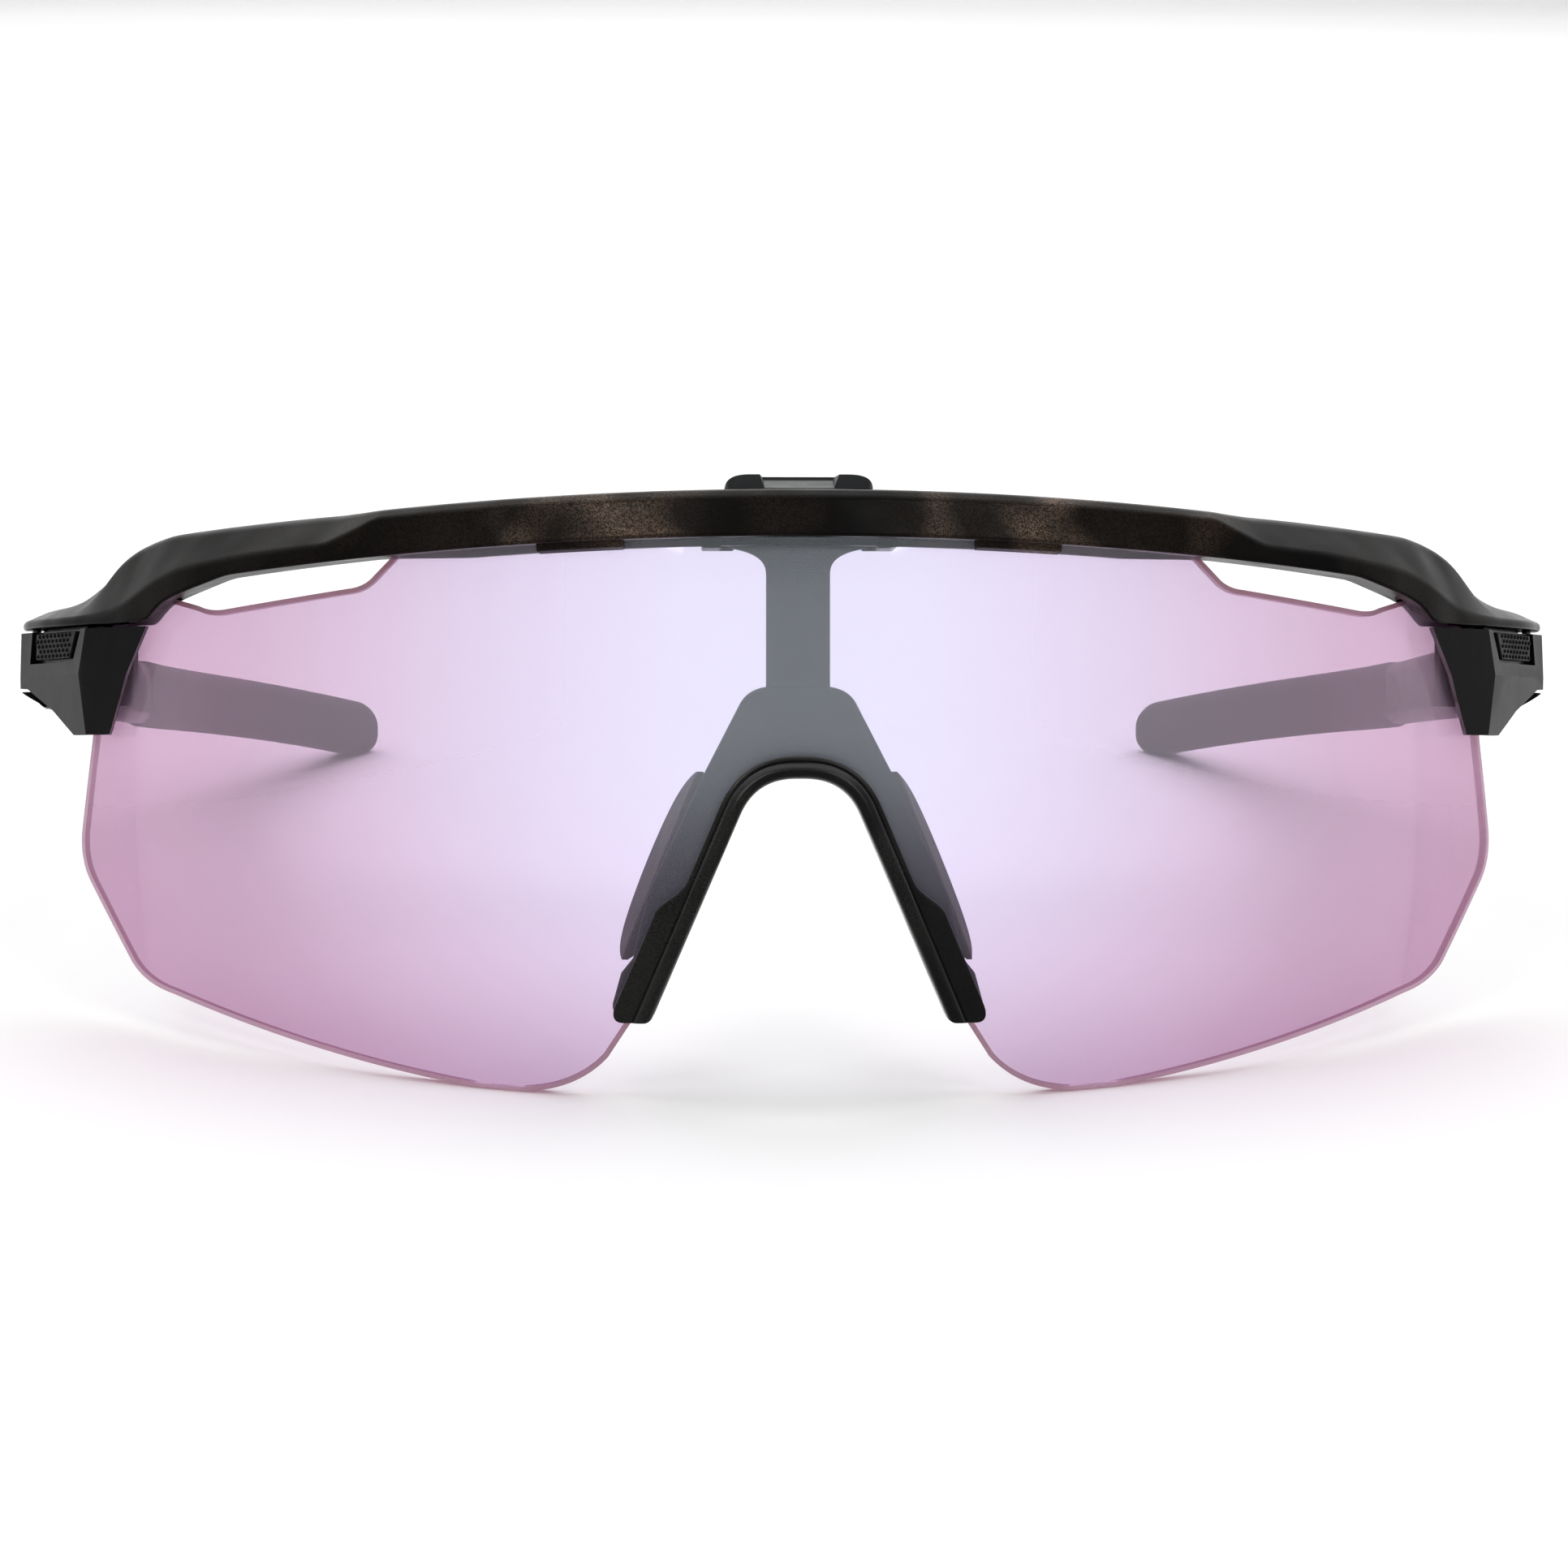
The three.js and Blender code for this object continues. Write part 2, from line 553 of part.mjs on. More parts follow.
function centreStrut() {
  const { y, thick, stem, head, top, bottom, toe } = STRUT;
  const half = new THREE.Path();
  const underTab = top - TAB.thick + 0.05;
  half.moveTo(0, underTab);
  half.lineTo(head, underTab);
  half.lineTo(head, 21.6);
  half.quadraticCurveTo(head, 20.9, 5.7, 20.7);
  half.quadraticCurveTo(stem, 20.2, stem, 18.4);
  half.lineTo(stem, bottom);
  half.lineTo(stem - 0.9, bottom);
  half.lineTo(stem - 0.9, toe);
  half.lineTo(0, toe);
  const plate = frontPrism(arch(half.getPoints(6), []), y, y + thick);
  const scoop = frontPrism(polygon([[-3.7, 28], [-3.04, 26.75], [3.04, 26.75], [3.7, 28]]), 3, 8);
  const tab = planPrism(fingerTab(), top - TAB.thick, top).intersect(frontPrism(tabOutline()));
  return cut(join(plate, tab), scoop);
}

// The plan of the tab that the finger and thumb push or pull on, above the brow.
function fingerTab() {
  const { head, y, thick } = STRUT;
  const { front, back, corner } = TAB;
  const side = head - corner;
  const tab = new THREE.Shape();
  tab.moveTo(-side, front);
  tab.lineTo(side, front);
  tab.quadraticCurveTo(head, front, head, front + corner);
  tab.lineTo(head, y + thick);
  tab.quadraticCurveTo(head, back, side, back);
  tab.lineTo(-side, back);
  tab.quadraticCurveTo(-head, back, -head, y + thick);
  tab.lineTo(-head, front + corner);
  tab.quadraticCurveTo(-head, front, -side, front);
  return tab;
}

// The tab seen from the front: its ends fall away in rounded shoulders.
function tabOutline() {
  const { head, top } = STRUT;
  const half = new THREE.Path();
  half.moveTo(0, top);
  half.lineTo(head - 2, top);
  half.quadraticCurveTo(head, top, head, top - TAB.thick);
  return arch(half.getPoints(5), []);
}

// The carrier: a plate shaped like an A that hangs on the strut and spreads beside the nose.
function noseCarrier() {
  const half = new THREE.Path();
  half.moveTo(0, 8.6);
  half.lineTo(2.8, 8.6);
  half.quadraticCurveTo(4.4, 8.4, 5.1, 7.2);
  half.lineTo(8.6, 0.4);
  half.lineTo(13.4, -10);
  half.lineTo(14.6, -15.4);
  half.lineTo(15.65, -16.7);
  half.lineTo(16.4, -19.4);
  half.lineTo(15.6, -20.4);
  half.lineTo(13.9, -20.4);
  const inner = noseEdge(0.9, -19.8);
  const { y, thick } = CARRIER;
  const socket = frontPrism(polygon([[-2.22, 4.3], [2.22, 4.3], [2.22, 9.2], [-2.22, 9.2]]));
  return cut(frontPrism(arch(half.getPoints(5), inner), y, y + thick), socket);
}

// A soft pad that leans back and outwards from the carrier leg to lie along the nose.
function nosePad() {
  const stations = steps(PAD.top, PAD.bottom, 12).map((z) => {
    const end = Math.sqrt(Math.max(1 - ((z - PAD.middle) / PAD.reach) ** 2, 0));
    const root = PAD.root + (PAD.top - z) * PAD.slope;
    const flare = 0.25 + end;
    const deep = 2 + 6.2 * end;
    const y = CARRIER.y + CARRIER.thick + GAP;
    const place = (a, b) => [root - 1.6 + a, y + b, z];
    const section = [
      [0, 0], [1.7, 0], [1.7 + flare * 0.5, deep * 0.55], [1.7 + flare, deep],
      [0.4 + flare, deep], [flare * 0.4, deep * 0.5],
    ];
    return { place, section };
  });
  return loft(stations);
}

// ---------------------------------------------------------------- assembly
const finish = (color, roughness, metalness = 0) => ({ color, roughness, metalness });
const LOOKS = {
  frame: finish(0x16140f, 0.45, 0.2),
  bridge: finish(0x141311, 0.35),
  lens: { ...finish(0xd9c8e4, 0.08, 0.1), transparent: true, opacity: 0.75 },
  grey: finish(0x565a5e, 0.5),
  rubber: finish(0x3a363c, 0.8),
  lock: finish(0x1b1a19, 0.5),
  pad: finish(0x6f5f63, 0.75),
  steel: finish(0x8f9092, 0.3, 1),
};

const CENTRE_PIECES = [
  ['brow_frame', browFrame, 'frame'],
  ['shield_lens', shieldLens, 'lens'],
  ['nose_frame', noseFrame, 'bridge'],
  ['centre_strut', centreStrut, 'grey'],
  ['nose_carrier', noseCarrier, 'grey'],
];

const SIDE_PIECES = [
  ['nose_pad', nosePad, 'pad'],
  ['lock_jaw', lockJaw, 'lock'],
  ['release_slider', releaseSlider, 'lock'],
  ['lock_pin', lockPin, 'steel'],
  ['temple_arm', templeArm, 'frame'],
  ['temple_sleeve', templeSleeve, 'rubber'],
  ['temple_core', templeCore, 'steel'],
  ['hinge_screw', hingeScrew, 'steel'],
];

function addPiece(group, name, solid, look) {
  const mesh = new THREE.Mesh(geometryOf(solid), new THREE.MeshStandardMaterial(LOOKS[look]));
  mesh.name = name;
  group.add(mesh);
}

const glasses = new THREE.Group();
glasses.name = 'sport_sunglasses';
for (const [name, build, look] of CENTRE_PIECES) addPiece(glasses, name, build(), look);
for (const [name, build, look] of SIDE_PIECES) {
  const solid = build();
  addPiece(glasses, `${name}_left`, solid, look);
  addPiece(glasses, `${name}_right`, mirrored(solid), look);
}

// Pitch the assembly onto its feet and bring the middle of its footprint to the origin.
glasses.rotation.x = -PITCH;
glasses.updateMatrixWorld(true);
const box = new THREE.Box3().setFromObject(glasses, true);
const middle = box.getCenter(new THREE.Vector3());
glasses.position.set(-middle.x, -middle.y, -box.min.z);

export default new THREE.Group().add(glasses);
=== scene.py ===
"""Wraparound sport sunglasses: the finished surfaces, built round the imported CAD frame.

Shapes are made in the design frame of the glasses, in millimetres: X across (the wearer's left is
+X), Y back towards the ears, Z up, with Y = 0 at the front of the lens on its centre line. TO_ROW
takes them to the row frame, in metres, where the glasses are pitched onto their lens and tips.
"""

import json
import math
from itertools import pairwise

import bmesh
import bpy
from mathutils import Matrix, Vector, geometry


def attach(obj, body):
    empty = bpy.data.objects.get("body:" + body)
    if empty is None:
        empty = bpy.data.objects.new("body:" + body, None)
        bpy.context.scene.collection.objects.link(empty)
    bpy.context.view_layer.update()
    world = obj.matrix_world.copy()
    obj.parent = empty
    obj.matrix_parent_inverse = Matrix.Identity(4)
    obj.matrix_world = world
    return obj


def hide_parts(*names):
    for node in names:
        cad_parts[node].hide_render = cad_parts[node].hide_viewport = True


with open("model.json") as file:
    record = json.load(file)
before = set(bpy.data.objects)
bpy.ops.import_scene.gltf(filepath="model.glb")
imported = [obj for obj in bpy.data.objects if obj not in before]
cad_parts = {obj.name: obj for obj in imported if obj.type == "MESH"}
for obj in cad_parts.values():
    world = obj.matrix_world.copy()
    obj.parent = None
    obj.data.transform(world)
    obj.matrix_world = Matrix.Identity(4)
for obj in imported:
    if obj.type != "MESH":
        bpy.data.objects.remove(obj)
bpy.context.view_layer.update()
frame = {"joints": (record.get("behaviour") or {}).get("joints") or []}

# ---------------------------------------------------------------- the design frame
MM = 0.001
joints = {joint["name"]: joint for joint in frame["joints"]}
up = Vector(joints["nose_height"]["axis"])
PIN = Vector((69.2, 52.4, 11.2))  # temple hinge
PITCH = math.atan2(up.y, up.z)
TURN = Matrix.Rotation(-PITCH, 4, "X") @ Matrix.Scale(MM, 4)
TO_ROW = Matrix.Translation(Vector(joints["temple_fold_left"]["pos_m"]) - TURN @ PIN) @ TURN

GAP = 0.3  # between pieces that meet
LENS_RADIUS, LENS_DROP_RADIUS = 80, 140  # curves of the lens front, across and up
LENS_THICK = 2
SEAT = LENS_THICK + GAP  # where the frame begins behind the lens front
LENS_REACH = 70  # a little more than half the width of the lens

BAR_FRONT, BAR_BACK, BAR_HEIGHT = 2.4, -4.2, 4.2  # the brow bar ahead of and behind the lens front
BROW_TOP, BROW_DROOP = 25.75, 0.00098  # its top at the centre, and its fall with the square of X
CAP_TOP, CAP_BOTTOM = 17.3, 14.85  # the cap over the lens lock
WRAP = math.radians(48)  # where the side rail leaves the curve of the lens
RAIL_END = Vector((71.4, 50))

HINGE_LOW, HINGE_HIGH, EAR, EAR_RADIUS = 7.3, 15.1, 2.2, 2.3
SCREW_SHANK, SCREW_HEAD, SCREW_HEAD_HEIGHT = 0.8, 1.45, 0.5

RIDGE, HEEL = Vector((66.6, 32.1)), Vector((74, 46.8))  # plan corners of the lock's side facet
LOCK_PIN, LOCK_PIN_RADIUS = Vector((72.6, 48.2)), 0.45
LOCK_LOW, LOCK_HIGH, LOCK_WALL, KNUCKLE, KNUCKLE_LOW = 4.6, CAP_BOTTOM - GAP, 1.9, 1.4, 9.2
LOCK_WAIST, LOCK_LEAN = 10.3, 0.42  # height where the lock is widest, and its lean above and below
SLIDE_CENTRE, SLIDE_Z, SLIDE_TRAVEL, SLIDE_HALF_HEIGHT = 7.35, 13.1, 1, 1.25
WINDOW_REAR, WINDOW_FRONT, WINDOW_SLANT = 6.55, 7.15, 1.6
WINDOW_HALF_HEIGHT, WINDOW_DEPTH = 1.6, 0.9
FOOT_DEEP, FOOT_LENGTH, FOOT_HEIGHT = 3.2, 3.6, 2.4  # the thumb slide's foot behind the lock wall

NOSE_TOP, NOSE_HALF, NOSE_SLOPE, NOSE_ROUND, NOSE_FOOT = 0.64, 4.02, 0.43, 3.6, -20.9
STRUT_Y, STRUT_THICK, STEM, HEAD, TAB_TOP = 7, 1.2, 2.82, 6.55, 27.2
HOOK_LOW, HOOK_HIGH, HOOK_WALL, HOOK_LIP = 20.7, 24.2, 1.7, 1.2  # the rails that guide the strut
CARRIER_Y, CARRIER_THICK = 6.6, 1.8
PAD_MIDDLE, PAD_REACH = -7.25, 8.6

SLEEVE_START, TEMPLE_END = 104, 168
CORE_START, CORE_END, CORE_HALF, CORE_REACH = 90, 161, 0.6, 1.4


# ---------------------------------------------------------------- small helpers
def lerp(a, b, t):
    return a + (b - a) * t


def share(value, low, high):
    return min(max((value - low) / (high - low), 0), 1)


def smooth(value, low, high):
    t = share(value, low, high)
    return t * t * (3 - 2 * t)


def steps(start, end, count):
    return [lerp(start, end, i / count) for i in range(count + 1)]


class Outline:
    """A 2D line of straight and quadratic stretches."""

    def __init__(self, x, y):
        self.points = [(x, y)]

    def to(self, x, y):
        self.points.append((x, y))
        return self

    def bend(self, corner_x, corner_y, x, y, count=10):
        x0, y0 = self.points[-1]
        for t in steps(0, 1, count)[1:]:
            a, b, c = (1 - t) ** 2, 2 * t * (1 - t), t * t
            self.points.append((a * x0 + b * corner_x + c * x, a * y0 + b * corner_y + c * y))
        return self

    def arc(self, cx, cy, radius, start, end, count=12):
        for t in steps(math.radians(start), math.radians(end), count):
            self.points.append((cx + radius * math.cos(t), cy + radius * math.sin(t)))
        return self


def mirrored_close(half):
    """A half outline that starts and ends on the middle line, closed through its other half."""
    return half + [(-x, y) for x, y in reversed(half) if abs(x) > 1e-6]


def resampled(points, spacing):
    """A closed outline with extra points so that none of its edges is longer than spacing."""
    made = []
    for a, b in zip(points, points[1:] + points[:1]):
        count = max(1, math.ceil(math.dist(a, b) / spacing))
        made += [(lerp(a[0], b[0], i / count), lerp(a[1], b[1], i / count)) for i in range(count)]
    return made


def signed_area(points):
    return sum(a[0] * b[1] - b[0] * a[1] for a, b in zip(points, points[1:] + points[:1])) / 2


def inset(points, distance):
    """A closed outline moved inwards by a small distance."""
    turn = 1 if signed_area(points) > 0 else -1
    made = []
    for before, here, after in zip(points[-1:] + points[:-1], points, points[1:] + points[:1]):
        run_in = (Vector(here) - Vector(before)).normalized()
        run_out = (Vector(after) - Vector(here)).normalized()
        middle = (run_in + run_out).normalized()
        normal = Vector((-middle.y, middle.x)) * turn
        widen = 1 / max(math.sqrt((1 + run_in.dot(run_out)) / 2), 0.6)
        made.append(tuple(Vector(here) + normal * distance * widen))
    return made


def rounded(corners, count=4):
    """A closed section whose corners (x, y, radius) are each replaced by count + 1 points."""
    made = []
    for i, (x, y, radius) in enumerate(corners):
        here = Vector((x, y))
        before = Vector(corners[i - 1][:2])
        after = Vector(corners[(i + 1) % len(corners)][:2])
        reach = min(radius, 0.45 * (before - here).length, 0.45 * (after - here).length)
        a = here + (before - here).normalized() * reach
        b = here + (after - here).normalized() * reach
        for t in steps(0, 1, count):
            made.append(tuple(a * (1 - t) ** 2 + here * 2 * t * (1 - t) + b * t * t))
    return made


# ---------------------------------------------------------------- meshes
def mesh_object(name, points, faces):
    mesh = bpy.data.meshes.new(name)
    mesh.from_pydata([tuple(p) for p in points], [], faces)
    obj = bpy.data.objects.new(name, mesh)
    bpy.context.scene.collection.objects.link(obj)
    bm = bmesh.new()
    bm.from_mesh(mesh)
    bmesh.ops.remove_doubles(bm, verts=bm.verts, dist=1e-4)
    bmesh.ops.recalc_face_normals(bm, faces=bm.faces)
    bm.to_mesh(mesh)
    bm.free()
    return obj


def loft(name, rings):
    """A closed solid through rings of equal length."""
    count = len(rings[0])
    points = [p for ring in rings for p in ring]
    faces = [
        (r * count + i, r * count + (i + 1) % count,
         (r + 1) * count + (i + 1) % count, (r + 1) * count + i)
        for r in range(len(rings) - 1) for i in range(count)
    ]
    faces.append(tuple(range(count)))
    faces.append(tuple(range(len(points) - count, len(points))))
    return mesh_object(name, points, faces)


def plan_prism(outline, low, high, name="solid"):
    """A plan outline in X and Y, run up from low to high."""
    return loft(name, [[(x, y, z) for x, y in outline] for z in (low, high)])


def front_prism(outline, near=-20, far=70, name="solid"):
    """A front outline in X and Z, run back from near to far."""
    return loft(name, [[(x, y, z) for x, z in outline] for y in (near, far)])


def post(centre, radius, low, high, sides=40, name="solid"):
    circle = [
        (centre[0] + radius * math.cos(a), centre[1] + radius * math.sin(a))
        for a in steps(0, 2 * math.pi, sides)[:-1]
    ]
    return plan_prism(circle, low, high, name)


def combine(obj, operation, *others):
    for other in others:
        modifier = obj.modifiers.new("boolean", "BOOLEAN")
        modifier.operation = operation
        modifier.solver = "EXACT"
        modifier.object = other
        bpy.context.view_layer.update()
        graph = bpy.context.evaluated_depsgraph_get()
        made = bpy.data.meshes.new_from_object(obj.evaluated_get(graph))
        obj.modifiers.clear()
        obj.data = made
        bpy.data.objects.remove(other)
    return obj


def cut(obj, *others):
    return combine(obj, "DIFFERENCE", *others)


def join(obj, *others):
    return combine(obj, "UNION", *others)


def common(obj, *others):
    return combine(obj, "INTERSECT", *others)


def merged(name, objects):
    """Several closed meshes as one object, side by side in one mesh."""
    bm = bmesh.new()
    for obj in objects:
        bm.from_mesh(obj.data)
        bpy.data.objects.remove(obj)
    mesh = bpy.data.meshes.new(name)
    bm.to_mesh(mesh)
    bm.free()
    made = bpy.data.objects.new(name, mesh)
    bpy.context.scene.collection.objects.link(made)
    return made


def finish_piece(obj, name, body, material, slot, replaces=(), bevel=0.0, angle=30):
    """Puts a design-frame mesh into the row frame with its material, edges and body; slot is not used."""
    obj.name = name
    obj.data.name = name
    obj.data.transform(TO_ROW)
    obj.data.materials.clear()
    obj.data.materials.append(material)
    for polygon in obj.data.polygons:
        polygon.use_smooth = True
    if bevel:
        modifier = obj.modifiers.new("edges", "BEVEL")
        modifier.width = bevel * MM
        modifier.segments = 3
        modifier.limit_method = "ANGLE"
        modifier.angle_limit = math.radians(angle)
        modifier.harden_normals = False
    normals = obj.modifiers.new("normals", "WEIGHTED_NORMAL")
    normals.keep_sharp = True
    obj.data.set_sharp_from_angle(angle=math.radians(50 if bevel else 40))
    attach(obj, body)
    if replaces:
        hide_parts(*replaces)


def both_sides(obj, name, body, material, slot, replaces=(), **edges):
    """A finished left piece and its mirror image on the right."""
    other = obj.copy()
    other.data = obj.data.copy()
    bpy.context.scene.collection.objects.link(other)
    other.data.transform(Matrix.Scale(-1, 4, (1, 0, 0)))
    other.data.flip_normals()
    for side, made in (("left", obj), ("right", other)):
        side_body = body.format(side=side)
        side_nodes = [node.format(side=side) for node in replaces]
        finish_piece(made, f"{name}_{side}", side_body, material, slot, side_nodes, **edges)


# ---------------------------------------------------------------- materials
def new_material(name):
    material = bpy.data.materials.new(name)
    material.use_nodes = True
    nodes = material.node_tree.nodes
    return material, nodes, material.node_tree.links, nodes["Principled BSDF"]


def texture_space(nodes):
    """Object coordinates, in metres."""
    return nodes.new("ShaderNodeTexCoord").outputs["Object"]


def noise(nodes, links, vector, scale, detail=3.0):
    made = nodes.new("ShaderNodeTexNoise")
    made.inputs["Scale"].default_value = scale
    made.inputs["Detail"].default_value = detail
    links.new(vector, made.inputs["Vector"])
    return made.outputs["Fac"]


def ramp(nodes, links, value, *stops):
    made = nodes.new("ShaderNodeValToRGB")
    elements = made.color_ramp.elements
    while len(elements) < len(stops):
        elements.new(0.5)
    for element, (position, color) in zip(elements, stops):
        element.position = position
        element.color = (*color, 1) if len(color) == 3 else color
    links.new(value, made.inputs["Fac"])
    return made.outputs["Color"]


def bump(nodes, links, shader, height, strength, distance):
    made = nodes.new("ShaderNodeBump")
    made.inputs["Strength"].default_value = strength
    made.inputs["Distance"].default_value = distance
    links.new(height, made.inputs["Height"])
    links.new(made.outputs["Normal"], shader.inputs["Normal"])
    return made.outputs["Normal"]


def grey(value):
    return (value, value, value)


def reckon(nodes, links, operation, first, second=None):
    """A math node on a socket, and on a number or another socket where it takes two."""
    made = nodes.new("ShaderNodeMath")
    made.operation = operation
    links.new(first, made.inputs[0])
    if isinstance(second, (int, float)):
        made.inputs[1].default_value = second
    elif second is not None:
        links.new(second, made.inputs[1])
    return made.outputs["Value"]


def moulded(name, dark, light, rough_low, rough_high, grain=6000, strength=0.12, specular=0.5):
    """Moulded plastic: a fine satin grain over slow patches of tone and gloss."""
    material, nodes, links, shader = new_material(name)
    space = texture_space(nodes)
    tone = noise(nodes, links, space, 120)
    links.new(ramp(nodes, links, tone, (0.3, dark), (0.7, light)), shader.inputs["Base Color"])
    patches = noise(nodes, links, space, 400, 4)
    rough = ramp(nodes, links, patches, (0.3, grey(rough_low)), (0.7, grey(rough_high)))
    links.new(rough, shader.inputs["Roughness"])
    bump(nodes, links, shader, noise(nodes, links, space, grain, 2), strength, 0.00004)
    shader.inputs["Specular IOR Level"].default_value = specular
    return material


def flaked(name, dark, flake, roughness, shine, flake_and_highlight_amounts=((0.0, 1.0), (1.0, 1.0))):
    """Black plastic with slow patches of fine metallic flake, which on the frame are partly painted
    highlight.

    The last argument pairs a distance from the middle plane, as a share of LENS_REACH, with the flake there;
    on the frame it gathers the flake over the middle of the brow, a painted highlight in place of its bronze
    reflection.
    """
    material, nodes, links, shader = new_material(name)
    space = texture_space(nodes)
    cells = nodes.new("ShaderNodeTexVoronoi")
    cells.inputs["Scale"].default_value = 12000
    links.new(space, cells.inputs["Vector"])
    shades = nodes.new("ShaderNodeSeparateColor")
    links.new(cells.outputs["Color"], shades.inputs["Color"])
    side = reckon(nodes, links, "ABSOLUTE", along_axis(nodes, links, (0, 0, 0), (1, 0, 0)))
    part = reckon(nodes, links, "DIVIDE", side, LENS_REACH)
    # How much flake lies at each distance from the middle: on the frame it is held to the middle of the brow
    # as a painted highlight.
    flake_and_highlight_spread = ramp(nodes, links, part, *[(at, grey(value)) for at, value in flake_and_highlight_amounts])
    grains = ramp(nodes, links, shades.outputs["Red"], (0.2, grey(0.1)), (1.0, grey(1.0)))
    # Slow patches of flake: real flake, laid where the frame's bronze highlight shows, so partly painted
    # highlight.
    flake_and_highlight_drifts = ramp(nodes, links, noise(nodes, links, space, 105, 1), (0.46, grey(0.12)), (0.6, grey(1.0)))
    amount = reckon(nodes, links, "MULTIPLY", reckon(nodes, links, "MULTIPLY", grains, flake_and_highlight_spread), flake_and_highlight_drifts)
    links.new(ramp(nodes, links, amount, (0.0, dark), (1.0, flake)), shader.inputs["Base Color"])
    links.new(ramp(nodes, links, amount, (0.0, grey(0.05)), (1.0, grey(0.95))), shader.inputs["Metallic"])
    patches = noise(nodes, links, space, 150, 2)
    rough = ramp(nodes, links, patches, (0.35, grey(roughness - 0.06)), (0.65, grey(roughness + 0.08)))
    links.new(rough, shader.inputs["Roughness"])
    wave = bump(nodes, links, shader, noise(nodes, links, space, 140, 1), 0.4, 0.001)
    tilt = bump(nodes, links, shader, shades.outputs["Green"], 0.1, 0.00004)
    links.new(wave, tilt.node.inputs["Normal"])
    shader.inputs["Specular IOR Level"].default_value = shine
    return material


def brushed_steel(name):
    """Satin steel with fine changes of tone and gloss."""
    material, nodes, links, shader = new_material(name)
    space = texture_space(nodes)
    shader.inputs["Metallic"].default_value = 1.0
    tone = noise(nodes, links, space, 900)
    links.new(ramp(nodes, links, tone, (0.3, grey(0.36)), (0.7, grey(0.5))), shader.inputs["Base Color"])
    rough = ramp(nodes, links, noise(nodes, links, space, 2500), (0.3, grey(0.25)), (0.7, grey(0.4)))
    links.new(rough, shader.inputs["Roughness"])
    return material


def along_axis(nodes, links, origin, axis):
    """The distance, in millimetres, from a design-frame point along a design-frame direction."""
    coordinates = nodes.new("ShaderNodeTexCoord")
    turned = (TO_ROW.to_3x3() @ Vector(axis)).normalized()
    dot = nodes.new("ShaderNodeVectorMath")
    dot.operation = "DOT_PRODUCT"
    dot.inputs[1].default_value = turned
    links.new(coordinates.outputs["Object"], dot.inputs[0])
    shift = nodes.new("ShaderNodeMath")
    shift.operation = "MULTIPLY_ADD"
    shift.inputs[1].default_value = 1 / MM
    shift.inputs[2].default_value = -turned.dot(TO_ROW @ Vector(origin)) / MM
    links.new(dot.outputs["Value"], shift.inputs[0])
    return shift.outputs["Value"]


# Colour let through the lens against the distance, in millimetres, from its upper middle: the lens is
# tinted, and the shift from lavender to pink further out is a painted reflection of its mirror coat.
LENS_TONES = [
    (10, (0.795, 0.745, 0.93)), (20, (0.764, 0.69, 0.875)), (30, (0.718, 0.612, 0.775)),
    (40, (0.672, 0.528, 0.675)), (50, (0.615, 0.45, 0.585)), (64, (0.588, 0.398, 0.528)),
]
HAZE_LIGHT = 0.7  # how bright the haze in the lens stands in the studio
DROP_WEIGHT = 1.27  # how much faster the colour changes downwards than sideways


def lens_spread(nodes, links):
    """How far a point lies from the upper middle of the lens, as a share of LENS_REACH."""
    side = along_axis(nodes, links, (0, 0, 0), (1, 0, 0))
    drop = along_axis(nodes, links, (0, 0, 3), (0, 0, -1))
    below = reckon(nodes, links, "MAXIMUM", drop, 0)
    both = nodes.new("ShaderNodeCombineXYZ")
    links.new(side, both.inputs["X"])
    links.new(reckon(nodes, links, "MULTIPLY", below, DROP_WEIGHT), both.inputs["Z"])
    distance = nodes.new("ShaderNodeVectorMath")
    distance.operation = "LENGTH"
    links.new(both.outputs["Vector"], distance.inputs[0])
    return reckon(nodes, links, "DIVIDE", distance.outputs["Value"], LENS_REACH)


def lens_tint_and_painted_reflection(nodes, links, veil):
    """The tint that gives LENS_TONES once the haze is added: lavender, then pink further out; the shift is a
    painted reflection of the mirror coat.
    """
    stops = [
        (d / LENS_REACH, [(c * 1.02 - HAZE_LIGHT * veil) / (1 - veil) for c in tone])
        for d, tone in LENS_TONES
    ]
    return ramp(nodes, links, lens_spread(nodes, links), *stops)


def fading_veil(nodes, links, veil):
    """The share of haze: thickest over the upper half, thin towards the foot of the lens."""
    height = along_axis(nodes, links, (0, 0, -12), (0, 0, 1))
    made = nodes.new("ShaderNodeMapRange")
    made.interpolation_type = "SMOOTHSTEP"
    made.inputs["From Max"].default_value = 18
    made.inputs["To Min"].default_value = veil * 0.55
    made.inputs["To Max"].default_value = veil * 1.85
    links.new(height, made.inputs["Value"])
    return made.outputs["Result"]


def mixed(nodes, links, factor, first, second):
    """A blend of two shaders by a number or a socket."""
    made = nodes.new("ShaderNodeMixShader")
    if isinstance(factor, float):
        made.inputs["Fac"].default_value = factor
    else:
        links.new(factor, made.inputs["Fac"])
    links.new(first, made.inputs[1])
    links.new(second, made.inputs[2])
    return made.outputs["Shader"]


